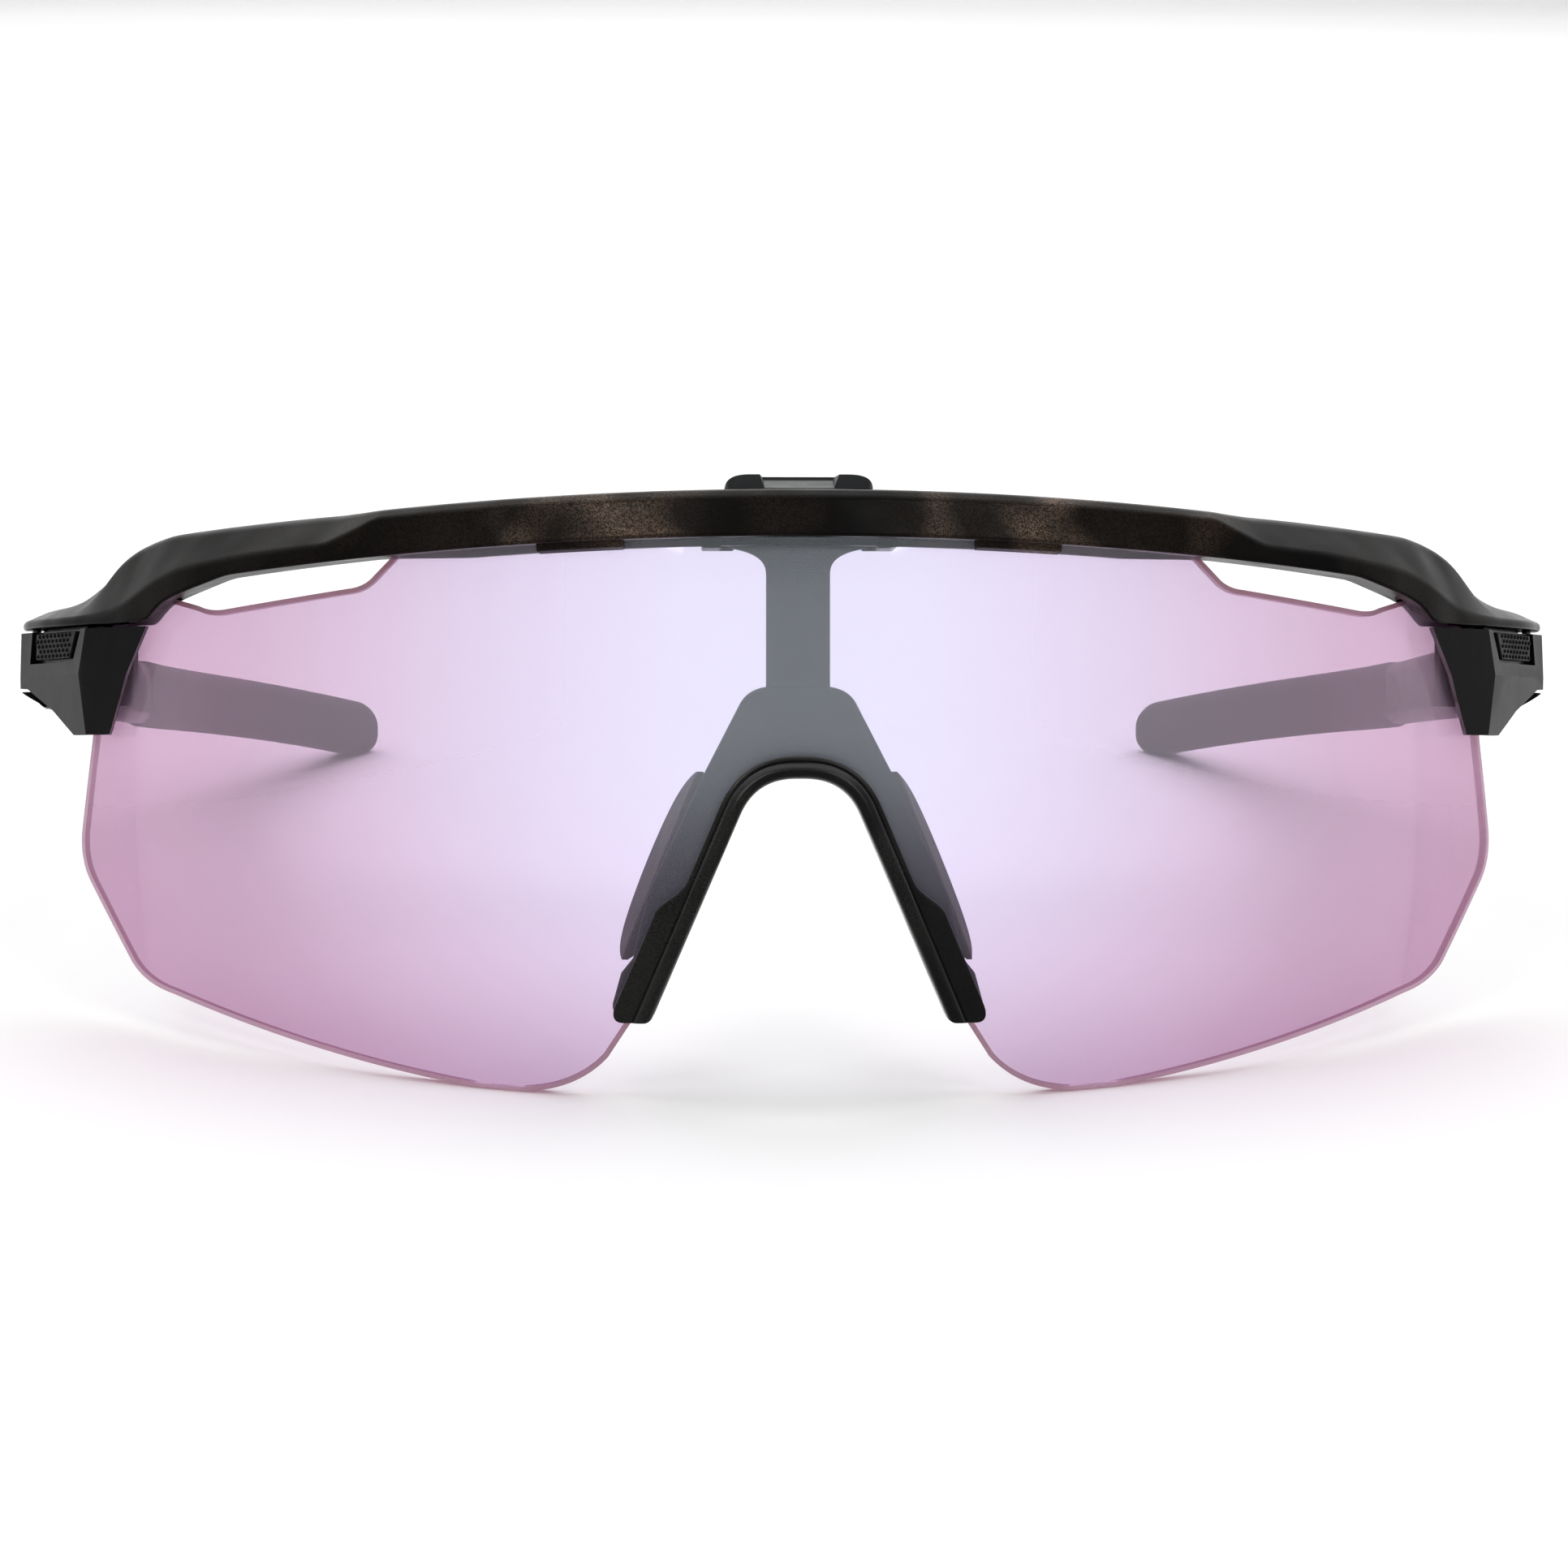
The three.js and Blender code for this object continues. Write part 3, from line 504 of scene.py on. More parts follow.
def coated(name, veil, gloss, tone=None, sheen=(0.82, 0.9, 0.95), roughness=0.04):
    """Tinted clear plastic with a faint veil of haze and a thin mirror coat.

    With no tone it takes the tint of the lens, whose veil fades towards its foot; tint and haze then run
    from lavender to pink away from the middle, a painted reflection of the mirror coat.
    """
    material, nodes, links, shader = new_material(name)
    nodes.remove(shader)
    through = nodes.new("ShaderNodeBsdfTransparent")
    if tone:
        through.inputs["Color"].default_value = (*tone, 1)
    else:
        # The lens tint by place: real tint, with its lavender-to-pink shift painted in for the coat's
        # reflection.
        links.new(lens_tint_and_painted_reflection(nodes, links, veil), through.inputs["Color"])
    haze = nodes.new("ShaderNodeBsdfDiffuse")
    # Haze colour from the sheen in the middle to pink further out: painted reflection of the mirror coat.
    tones = ramp(nodes, links, lens_spread(nodes, links), (0.1, sheen), (0.75, (0.97, 0.72, 0.93)))
    links.new(tones, haze.inputs["Color"])
    mirror = nodes.new("ShaderNodeBsdfGlossy")
    mirror.inputs["Roughness"].default_value = roughness
    mirror.inputs["Color"].default_value = (0.9, 0.9, 1, 1)
    facing = nodes.new("ShaderNodeLayerWeight")
    facing.inputs["Blend"].default_value = 0.15
    amount = nodes.new("ShaderNodeMapRange")
    amount.inputs["To Min"].default_value = gloss
    amount.inputs["To Max"].default_value = gloss + 0.2
    links.new(facing.outputs["Fresnel"], amount.inputs["Value"])
    thickness = veil if tone else fading_veil(nodes, links, veil)
    body = mixed(nodes, links, thickness, through.outputs["BSDF"], haze.outputs["BSDF"])
    whole = mixed(nodes, links, amount.outputs["Result"], body, mirror.outputs["BSDF"])
    links.new(whole, nodes["Material Output"].inputs["Surface"])
    return material


# The frame's flake is held to the middle of the brow in slow patches: painted highlight in place of its
# bronze reflection.
FRAME_BLACK = flaked("frame_black", (0.0045, 0.0043, 0.0042), (0.15, 0.105, 0.077), 0.27, 0.055,
                     ((0.08, 0.15), (0.16, 1.0), (0.46, 1.0), (0.6, 0.06)))
BRIDGE_BLACK = flaked("bridge_black", (0.004, 0.004, 0.0038), (0.07, 0.07, 0.065), 0.28, 0.45)
LOCK_BLACK = moulded("lock_black", grey(0.004), (0.007, 0.0067, 0.0067), 0.22, 0.3, specular=0.07)
SLIDE_BLACK = moulded("slide_black", grey(0.003), (0.006, 0.0055, 0.0055), 0.45, 0.6, specular=0.2)
CARRIER_GREY = moulded("carrier_grey", (0.03, 0.032, 0.034), (0.042, 0.044, 0.046), 0.45, 0.6, specular=0.3)
PAD_RUBBER = moulded("pad_rubber", (0.055, 0.045, 0.045), (0.075, 0.06, 0.06), 0.65, 0.85, 3500, 0.3, 0.3)
SLEEVE_RUBBER = moulded("sleeve_rubber", (0.02, 0.018, 0.021), (0.03, 0.027, 0.031),
                        0.6, 0.8, 3500, 0.3, 0.3)
STEEL = brushed_steel("steel")
LENS_FRONT = coated("lens_front", 0.13, 0.03)
LENS_BACK = coated("lens_back", 0.005, 0.015, (0.99, 0.985, 0.99))
LENS_EDGE = coated("lens_edge", 0.35, 0.05, (0.5, 0.32, 0.35), (0.35, 0.24, 0.25), 0.2)


# ---------------------------------------------------------------- lens
def sag(z):
    return z * z / (2 * LENS_DROP_RADIUS)


def on_lens(x, z, out=0.0):
    """The point of the lens front, or of a surface that far out from it, seen at X and Z."""
    radius = LENS_RADIUS + out - sag(z)
    return (x, LENS_RADIUS - math.sqrt(radius * radius - x * x), z)


def nose_at(z, margin):
    return NOSE_HALF + (NOSE_TOP - z) * NOSE_SLOPE + margin * math.hypot(1, NOSE_SLOPE)


def nose_edge(margin, foot):
    """Half the nose arch, grown outwards by a margin, from its crown down to a foot height."""
    crown = NOSE_TOP + margin
    reach = NOSE_ROUND + margin * 0.5
    corner = nose_at(crown, margin)
    turn = crown - reach * 0.9
    line = Outline(0, crown).to(max(corner - reach, 0.3), crown)
    line.bend(corner, crown, nose_at(turn, margin), turn, 14)
    return line.to(nose_at(foot, margin), foot).points


FRONT, EDGE, BACK = 0, 1, 2


def lens_outline(grow=0.0):
    def top(x):
        return BROW_TOP - 2.1 + grow - BROW_DROOP * x * x

    half = Outline(0, top(0)).bend(18, top(0), 35.3, top(35.3))
    half.bend(35.5, top(35.9), 35.8, 20.5, 4).to(38, 18.3)
    half.bend(38.8, 17.55, 40.2, 17.45).to(51.6, 15.95)
    half.bend(53.2, 15.7, 54.4, 16.3).to(57.4, 17.2 + grow)
    half.to(60 + grow, 16.9 + grow).to(64.4 + grow, 14.2 + grow).to(65.6 + grow, 4)
    half.to(66.8, -4.6).bend(67, -7.2, 65.9, -9.1).to(61.4, -16.6)
    half.bend(60, -18.6, 57, -19.4).bend(41, -25, 27.5, -27, 24).bend(20.4, -27.9, 16.8, -24, 16)
    nose = list(reversed(nose_edge(1.25 - grow, NOSE_FOOT + 0.6)))
    return mirrored_close(half.points + nose)


def lens_solid(name, outline, front, back, edge, spacing):
    """A closed piece of the lens shell with a bevelled rim; returns it with its face groups."""
    rim = resampled(outline, spacing * 0.5)
    loop = inset(rim, edge) if edge else rim
    grid = [
        (x * spacing, z * spacing)
        for x in range(-round(68 / spacing), round(68 / spacing) + 1)
        for z in range(-round(28 / spacing), round(26 / spacing) + 1)
    ]
    flat, _, faces, *_ = geometry.delaunay_2d_cdt(
        [Vector(p) for p in loop + grid], [], [list(range(len(loop)))], 1, 1e-5)
    layers = [(loop, front), (rim, front - edge * 0.7), (rim, back + edge * 0.7), (loop, back)]
    points = [on_lens(p.x, p.y, front) for p in flat] + [on_lens(p.x, p.y, back) for p in flat]
    count = len(flat)
    polygons = [tuple(f) for f in faces] + [tuple(reversed([i + count for i in f])) for f in faces]
    groups = [FRONT] * len(faces) + [BACK] * len(faces)
    for (a, out_a), (b, out_b) in pairwise(layers if edge else [(rim, front), (rim, back)]):
        base = len(points)
        size = len(a)
        points += [on_lens(*p, out_a) for p in a] + [on_lens(*p, out_b) for p in b]
        for i in range(size):
            j = (i + 1) % size
            polygons.append((base + i, base + j, base + size + j, base + size + i))
            groups.append(EDGE)
    mesh = bpy.data.meshes.new(name)
    mesh.from_pydata(points, [], polygons)
    for polygon, group in zip(mesh.polygons, groups):
        polygon.material_index = group
    obj = bpy.data.objects.new(name, mesh)
    bpy.context.scene.collection.objects.link(obj)
    bm = bmesh.new()
    bm.from_mesh(mesh)
    bmesh.ops.remove_doubles(bm, verts=bm.verts, dist=1e-4)
    bmesh.ops.recalc_face_normals(bm, faces=bm.faces)
    bm.to_mesh(mesh)
    bm.free()
    return obj


def lens_room():
    return lens_solid("room", lens_outline(0.4), GAP, -SEAT, 0, 3.0)


def shield_lens():
    lens = lens_solid("lens", lens_outline(), 0, -LENS_THICK, 0.45, 1.6)
    for material in (LENS_FRONT, LENS_EDGE, LENS_BACK):
        lens.data.materials.append(material)
    lens.name = "lens_shield"
    lens.data.transform(TO_ROW)
    for vertex in lens.data.vertices:
        vertex.co.z = max(vertex.co.z, 0.0)
    back_to_design = TO_ROW.inverted()
    tilt = TO_ROW.to_3x3()
    normals = []
    for polygon in lens.data.polygons:
        polygon.use_smooth = True
        for index in polygon.vertices:
            x, y, z = back_to_design @ lens.data.vertices[index].co
            face = tilt @ Vector((x, y - LENS_RADIUS, math.hypot(x, y - LENS_RADIUS) * z / LENS_DROP_RADIUS))
            ways = {FRONT: face.normalized(), EDGE: polygon.normal, BACK: -face.normalized()}
            normals.append(ways[polygon.material_index])
    lens.data.normals_split_custom_set(normals)
    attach(lens, "frame")
    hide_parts("shield_lens")


shield_lens()


# ---------------------------------------------------------------- brow frame
WRAP_POINT = Vector((math.sin(WRAP), 1 - math.cos(WRAP))) * LENS_RADIUS
RAIL = (
    WRAP_POINT,
    WRAP_POINT + Vector((math.cos(WRAP), math.sin(WRAP))) * 9,
    Vector((RAIL_END.x - 0.3, RAIL_END.y - 9)),
    RAIL_END,
)


def rail_frame(u):
    """A point of the rail at u (0 centre, 1 end of the lens curve, 2 hinge) and its direction."""
    if u <= 1:
        angle = u * WRAP
        point = Vector((math.sin(angle), 1 - math.cos(angle))) * LENS_RADIUS
        return point, Vector((math.cos(angle), math.sin(angle)))
    t = u - 1
    a, b, c, d = RAIL
    point = a * (1 - t) ** 3 + b * 3 * t * (1 - t) ** 2 + c * 3 * t * t * (1 - t) + d * t ** 3
    run = (b - a) * (1 - t) ** 2 + (c - b) * 2 * t * (1 - t) + (d - c) * t * t
    return point, run.normalized()


def rail_ring(u, section):
    """The section's points (n out from the lens front, Z) as a ring across the rail at u."""
    side = -1 if u < 0 else 1
    along = abs(u)
    point, run = rail_frame(along)
    upright = 1 - share(along, 1.1, 1.8)
    ring = []
    for n, z in section(lambda n: point.x + n * run.y, along):
        depth = n - sag(z) * upright
        ring.append((side * (point.x + depth * run.y), point.y - depth * run.x, z))
    return ring


def profile(x, knots):
    """A value read from knots (x, value), joined by straight lines."""
    if x <= knots[0][0]:
        return knots[0][1]
    for (x0, z0), (x1, z1) in pairwise(knots):
        if x <= x1:
            return lerp(z0, z1, (x - x0) / (x1 - x0))
    return knots[-1][1]


def softened(x, knots, reach=0.5):
    """A profile averaged over a reach either side."""
    return sum(profile(x + reach * k / 2, knots) for k in (-2, -1, 0, 1, 2)) / 5


# The fall of the brow's top from the bar to the cap, against X, as a share of the whole step.
SHOULDER_FALL = [
    (59, 0), (60.8, 0.06), (62.2, 0.15), (63.5, 0.31), (64.4, 0.54), (65.1, 0.76), (65.7, 0.92), (66.3, 1),
]
# Height of the edge between the shoulder's front face and its broad bevel, against X.
RIDGE_LINE = [
    (43.2, 21.3), (51, 20.6), (57.5, 19.6), (59.4, 18.8), (60.9, 17.9), (62.8, 16.4), (64.5, 15.75),
    (66, 15.6), (80, 15.5),
]
# How far the underside bends down below its even curve as it nears the cap, against X.
BOTTOM_BEND = [(52.5, 0), (55.5, 0.7), (57.4, 1.15), (59, 1.75), (60.2, 3.2), (61, 4.2)]


def brow_top(x):
    bar = BROW_TOP - BROW_DROOP * x * x + 0.6 * share(x, 40, 58)
    cap = CAP_TOP - 0.2 - 0.07 * max(x - 65, 0)
    return lerp(bar, cap, softened(x, SHOULDER_FALL))


def brow_bottom(x):
    bar = BROW_TOP - BAR_HEIGHT - BROW_DROOP * x * x
    return max(bar - softened(x, BOTTOM_BEND), CAP_BOTTOM)


def brow_section(x_at, along):
    """The bar's section: x_at gives the X of a depth n, and along runs as in rail_frame."""
    shoulder = share(along, 1.3, 2)
    front = BAR_FRONT + 0.2 * shoulder
    back = BAR_BACK + 0.6 * shoulder
    x = x_at(front)
    broad = share(x, 38.4, 43.2)
    crest = front - lerp(0.75, 2.3, broad) - 0.3 * shoulder
    ridge = lerp(brow_top(x) - 0.75, softened(x, RIDGE_LINE, 1.2), broad)
    lip = 0.55 * (1 - share(x_at(-SEAT), 30, 38))
    lift = 0.6 * share(x, 36, 39)
    return rounded([
        (front, brow_bottom(x), 0.35), (front, ridge, 0.3 + 0.1 * broad),
        (crest, brow_top(x_at(crest)), 0.35 + 0.45 * broad),
        (back + 0.8, brow_top(x_at(back + 0.8)), 0.4), (back, brow_top(x_at(back)) - 0.8, 0.4),
        (back, brow_bottom(x_at(back)) - lip + lift, 0.3),
        (-SEAT - 0.5, brow_bottom(x_at(-SEAT)) - lip, 0.1),
        (-SEAT - 0.3, brow_bottom(x_at(-SEAT)), 0.05),
    ])


def clip_section(x_at, _along):
    """The low front clips that keep the top edge of the lens in its slot."""
    low = brow_bottom(x_at(1.2))
    return rounded([
        (0.35, low - 0.85, 0.1), (1.5, low - 0.6, 0.3), (1.9, low + 0.3, 0.1), (0.35, low + 0.3, 0.05),
    ])


def brow_bar():
    turns = sorted({*steps(-2, -1, 40), *steps(-1, 1, 150), *steps(1, 2, 40)})
    bar = loft("bar", [rail_ring(u, brow_section) for u in turns])
    back = STRUT_Y + STRUT_THICK + GAP
    inner, front, rear = HEAD + GAP, 3.6, back + 0.9
    outer, lip = inner + HOOK_WALL, inner - HOOK_LIP
    hook = [(inner, front), (outer, front), (outer, rear), (lip, rear), (lip, back), (inner, back)]
    rails = [plan_prism([(side * x, y) for x, y in hook], HOOK_LOW, HOOK_HIGH) for side in (1, -1)]
    clips = [
        loft("clip", [rail_ring(side * u / WRAP, clip_section) for u in steps(0.196, 0.292, 12)])
        for side in (-1, 1)
    ]
    cut(bar, lens_room())
    finish_piece(merged("clips", clips), "brow_clips", "frame", FRAME_BLACK, "frame")
    rails = merged("rails", rails)
    finish_piece(rails, "strut_rails", "frame", FRAME_BLACK, "frame", bevel=0.2)
    finish_piece(bar, "brow_bar", "frame", FRAME_BLACK, "frame", ["brow_frame"])


brow_bar()


# ---------------------------------------------------------------- hinge lug
LOCK_RUN = (HEEL - RIDGE).normalized()
LOCK_OUT = Vector((LOCK_RUN.y, -LOCK_RUN.x))


def facet_point(s, n):
    return RIDGE + LOCK_RUN * s + LOCK_OUT * n


def facet_solid(outline, deep, high, name="solid"):
    """An outline on the lock's side facet, as run along it and Z, between two depths out from it."""
    rings = []
    for n in (deep, high):
        rings.append([(*facet_point(s, n), z) for s, z in outline])
    return loft(name, rings)


def facet_box(s, length, deep, high, z, height):
    a, b = s - length / 2, s + length / 2
    c, d = z - height / 2, z + height / 2
    return facet_solid([(a, c), (b, c), (b, d), (a, d)], deep, high)


def hinge_lug():
    outer = [tuple(facet_point(s, -LOCK_WALL - GAP)) for s in (3.6, 15.1)]
    plan = [(61.9, 32), (65.5, 36.2), *outer, (72, 50), (67, 50), (66.2, 44), (64.3, 39.5), (61.3, 34.9)]
    body = plan_prism(plan, HINGE_LOW, CAP_BOTTOM + 0.6)
    ear = Outline(PIN.x - EAR_RADIUS, 49).to(PIN.x + EAR_RADIUS, 49)
    ear.arc(PIN.x, PIN.y, EAR_RADIUS, 0, 180, 24)
    for low in (HINGE_LOW, HINGE_HIGH - EAR):
        join(body, plan_prism(ear.points, low, low + EAR))
    tab = join(
        post(LOCK_PIN, KNUCKLE, HINGE_LOW, 8.9, 30),
        plan_prism([(69, 46.9), (72.6, 46.9), (72.6, 49.5), (69, 49.9)], HINGE_LOW, 8.9),
    )
    join(body, common(tab, front_prism([(66, 7.4), (71.5, 7.4), (74.1, 8.9), (66, 8.9)])))
    cut(
        body,
        post(PIN, SCREW_SHANK + GAP, HINGE_LOW - 3, HINGE_HIGH + 1),
        post(PIN, SCREW_HEAD + GAP, HINGE_HIGH - SCREW_HEAD_HEIGHT - 2 * GAP, HINGE_HIGH + 1),
        post(LOCK_PIN, KNUCKLE + GAP, KNUCKLE_LOW - GAP, CAP_BOTTOM),
        post(LOCK_PIN, LOCK_PIN_RADIUS + GAP, HINGE_LOW, CAP_BOTTOM + 1.2),
        facet_box(SLIDE_CENTRE + SLIDE_TRAVEL / 2, 5.6, -3.6, 0, SLIDE_Z, 3.2),
        lens_room(),
    )
    both_sides(body, "hinge_lug", "frame", FRAME_BLACK, "frame", bevel=0.18)


hinge_lug()


# ---------------------------------------------------------------- lens lock and thumb slide
def lock_window():
    """The window round the thumb pad: square at the rear, slanted at the front."""
    rear, front = SLIDE_CENTRE + WINDOW_REAR, SLIDE_CENTRE - WINDOW_FRONT
    low, high = SLIDE_Z - WINDOW_HALF_HEIGHT, SLIDE_Z + WINDOW_HALF_HEIGHT
    return [(front + WINDOW_SLANT, low), (rear, low), (rear, high), (front, high)]


def side_cuts():
    """Two wedges that lean the lock's side facet in above and below its widest height."""
    return [
        loft("wedge", [
            [
                (*facet_point(end, 2), LOCK_WAIST), (*facet_point(end, 0), LOCK_WAIST),
                (*facet_point(end, -LOCK_LEAN), far), (*facet_point(end, 2), far),
            ]
            for end in (-6, 18.5)
        ])
        for far in (LOCK_HIGH + 1, LOCK_LOW - 1)
    ]


def lock_jaw():
    rear, front = facet_point(15, -LOCK_WALL), facet_point(0, -LOCK_WALL)
    plan = [
        (58.6, 24.17), tuple(RIDGE), tuple(HEEL), (HEEL.x, LOCK_PIN.y), tuple(LOCK_PIN),
        tuple(rear), tuple(front), (64.6, 34.9), (61.6, 30.9), (58.2, 26.9),
    ]
    outline = [
        (59.4, 14.7), (60.5, 12.4), (61.55, 10.2), (62.2, 8), (63.3, LOCK_LOW), (67.3, LOCK_LOW),
        (69.9, 7), (73.2, KNUCKLE_LOW), (75, KNUCKLE_LOW), (75, 14.7),
    ]
    body = common(plan_prism(plan, LOCK_LOW, LOCK_HIGH), front_prism(outline))
    cut(body, plan_prism([(68, 46.6), (75, 46.6), (75, 52), (68, 52)], 0, KNUCKLE_LOW), *side_cuts())
    join(body, post(LOCK_PIN, KNUCKLE, KNUCKLE_LOW, LOCK_HIGH, 72))
    cut(
        body,
        lens_room(),
        post(LOCK_PIN, LOCK_PIN_RADIUS + GAP, LOCK_LOW, LOCK_HIGH + 1, 72),
        facet_solid(lock_window(), -WINDOW_DEPTH, 1),
        facet_box(SLIDE_CENTRE + SLIDE_TRAVEL / 2, 3.6, -3, 1, SLIDE_Z, 1.7),
    )
    nodes = ["lock_jaw_{side}"]
    both_sides(body, "lens_lock", "lock_{side}", LOCK_BLACK, "lock", nodes, bevel=0.22, angle=9)


def dome(centre_s, centre_z, base, radius, height, sides=10, rings=3):
    """A small rounded stud on the side facet."""
    made = []
    for level in steps(0, 0.96, rings):
        r = radius * math.sqrt(1 - level * level)
        n = base + height * level
        made.append([
            (*facet_point(centre_s + r * math.cos(a), n), centre_z + r * math.sin(a))
            for a in steps(0, 2 * math.pi, sides)[:-1]
        ])
    return loft("dome", made)


def thumb_slide():
    middle = SLIDE_CENTRE - 0.5
    low, high = SLIDE_Z - SLIDE_HALF_HEIGHT, SLIDE_Z + SLIDE_HALF_HEIGHT
    pad = facet_solid(
        [(middle - 4.2, low), (middle + 5.3, low), (middle + 5.3, high), (middle - 5.9, high)], -0.6, -0.1)
    join(
        pad,
        facet_box(SLIDE_CENTRE, 2, -2.4, -0.5, SLIDE_Z, 1.1),
        facet_box(SLIDE_CENTRE, FOOT_LENGTH, -FOOT_DEEP, -LOCK_WALL - GAP, SLIDE_Z, FOOT_HEIGHT),
    )
    nodes = ["release_slider_{side}"]
    both_sides(pad, "thumb_slide", "slider_{side}", SLIDE_BLACK, "lock", nodes, bevel=0.15)
    studs = []
    for row in range(5):
        z = SLIDE_Z + (row - 2) * 0.47
        for column in range(9):
            s = middle - 4.3 + column * 1.06 + (row % 2) * 0.5 + 0.12 * (4 - row)
            if s < middle + 4.9:
                studs.append(dome(s, z, -0.12, 0.21, 0.2))
    both_sides(merged("studs", studs), "thumb_studs", "slider_{side}", SLIDE_BLACK, "lock")


lock_jaw()
thumb_slide()


def lock_pin():
    pin = post(LOCK_PIN, LOCK_PIN_RADIUS, 8.2, CAP_BOTTOM + 0.9, 24)
    both_sides(pin, "lens_lock_pin", "frame", STEEL, "steel", ["lock_pin_{side}"], bevel=0.1)


lock_pin()


# ---------------------------------------------------------------- temples
TEMPLE_LINE = [(70.8, 50 + GAP), (70.8, 68), (70.2, 88), (66, 125), (48.6, TEMPLE_END)]


def temple_point(y):
    """The temple's centre line, a spline through TEMPLE_LINE, at a Y: a point and its direction."""
    span = next(i for i in range(4) if y <= TEMPLE_LINE[i + 1][1] + 1e-9 or i == 3)
    knots = [Vector(TEMPLE_LINE[min(max(span + k, 0), 4)]) for k in (-1, 0, 1, 2)]
    p0, p1, p2, p3 = knots
    m1, m2 = (p2 - p0) / 2, (p3 - p1) / 2

    def at(t):
        a, b = 2 * t ** 3 - 3 * t * t + 1, t ** 3 - 2 * t * t + t
        c, d = 3 * t * t - 2 * t ** 3, t ** 3 - t * t
        return p1 * a + m1 * b + p2 * c + m2 * d

    low, high = 0.0, 1.0
    for _ in range(30):
        middle = (low + high) / 2
        if at(middle).y < y:
            low = middle
        else:
            high = middle
    return at(low), (at(low + 1e-3) - at(low - 1e-3)).normalized()


def temple_top(y):
    return 15 - 0.031 * (y - 50) - 0.00078 * max(y - 120, 0) ** 2


def temple_low(y):
    return 7.3 - 0.0133 * (y - 50) - 0.00095 * max(y - 120, 0) ** 2


def temple_ring(y, half, low, high, corner, crown=0.0):
    point, run = temple_point(y)
    c = min(corner, half * 0.8)
    r = c * 0.6
    middle = (low + high) / 2
    section = rounded([
        (half, low + c, r), (half + crown, middle, c), (half, high - c, r), (half - c, high, r),
        (c - half, high, r), (-half, high - c, r), (-half, low + c, r), (c - half, low, r),
        (half - c, low, r),
    ], 3)
    return [(point.x + a * run.y, point.y - a * run.x, z) for a, z in section]


def core_ring(y, grow):
    middle = (temple_top(y) + temple_low(y)) / 2
    reach = CORE_REACH + grow
    return temple_ring(y, CORE_HALF + grow, middle - reach, middle + reach, 0.3)


def temple_core(grow=0.0):
    return loft("core", [core_ring(y, grow) for y in steps(CORE_START - grow, CORE_END + grow, 40)])


def temple_arm():
    def ring(y):
        return temple_ring(y, lerp(2.2, 1.7, share(y, 60, 100)), temple_low(y), temple_top(y), 0.9)

    body = loft("arm", [ring(y) for y in steps(50 + GAP, SLEEVE_START - GAP, 60)])
    clear = EAR_RADIUS + GAP
    swing = Outline(60, 45).to(PIN.x + clear, 45).arc(PIN.x, PIN.y, clear, 0, 90, 16).to(60, PIN.y + clear)
    cut(body, plan_prism(swing.points, 4, 18))
    low, high = HINGE_LOW + EAR + GAP, HINGE_HIGH - EAR - GAP
    web = [
        (PIN.x, PIN.y), (PIN.x + clear + 0.4, PIN.y - 0.6),
        (PIN.x + clear + 0.4, PIN.y + clear + 1), (PIN.x - 0.4, PIN.y + clear + 1),
    ]
    join(body, plan_prism(web, low, high), post(PIN, EAR_RADIUS, low, high))
    cut(body, post(PIN, SCREW_SHANK + GAP, 5, 18), temple_core(GAP))
    both_sides(body, "temple", "temple_{side}", FRAME_BLACK, "frame", ["temple_arm_{side}"], bevel=0.12)


def sleeve_ring(y):
    end = math.sqrt(1 - share(y, TEMPLE_END - 3, TEMPLE_END + 0.3) ** 2)
    middle = (temple_top(y) + temple_low(y)) / 2
    reach = (temple_top(y) - temple_low(y)) / 2
    swell = 0.25 * smooth(y, SLEEVE_START, SLEEVE_START + 3)
    ribbed = share(y, 126, 128) * (1 - share(y, 154, 156))
    rib = 0.12 * max(0, math.cos((y - 128) * math.pi / 2.6)) ** 2 * ribbed
    half = (1.8 + 0.3 * share(y, 104, 140) + swell - rib) * lerp(0.75, 1, end)
    height = (reach + swell) * lerp(0.5, 1, end)
    return temple_ring(y, half, middle - height, middle + height, 1.1)


def temple_sleeve():
    ends = [TEMPLE_END - 3 * (1 - math.sin(t)) for t in steps(0, math.pi / 2, 10)]
    body = loft("sleeve", [sleeve_ring(y) for y in steps(SLEEVE_START, TEMPLE_END - 3, 190)[:-1] + ends])
    cut(body, temple_core(GAP))
    for vertex in body.data.vertices:
        place = TO_ROW @ vertex.co
        place.z = max(place.z, 0.0)
        vertex.co = TO_ROW.inverted() @ place
    both_sides(body, "sleeve", "temple_{side}", SLEEVE_RUBBER, "rubber", ["temple_sleeve_{side}"])


def hinge_screw():
    seat = HINGE_HIGH - SCREW_HEAD_HEIGHT
    shank = post(PIN, SCREW_SHANK, HINGE_LOW + GAP, seat + 0.1)
    body = join(shank, post(PIN, SCREW_HEAD, seat, HINGE_HIGH))
    star = [
        (PIN.x + r * math.cos(a), PIN.y + r * math.sin(a))
        for a, r in ((math.pi * i / 6, 0.75 if i % 2 else 0.5) for i in range(12))
    ]
    cut(body, plan_prism(star, HINGE_HIGH - 0.35, HINGE_HIGH + 1))
    both_sides(body, "screw", "frame", STEEL, "steel", ["hinge_screw_{side}"], bevel=0.08)


temple_arm()
temple_sleeve()
both_sides(temple_core(), "core", "temple_{side}", STEEL, "steel", ["temple_core_{side}"])
hinge_screw()


# ---------------------------------------------------------------- nose bridge
def resample_line(points, count):
    """An open line as count + 1 points evenly spaced along it."""
    lengths = [math.dist(a, b) for a, b in pairwise(points)]
    total = sum(lengths)
    made = []
    for target in steps(0, total * 0.999999, count):
        i = 0
        while target > lengths[i]:
            target -= lengths[i]
            i += 1
        t = target / lengths[i]
        made.append((lerp(points[i][0], points[i + 1][0], t), lerp(points[i][1], points[i + 1][1], t)))
    return made


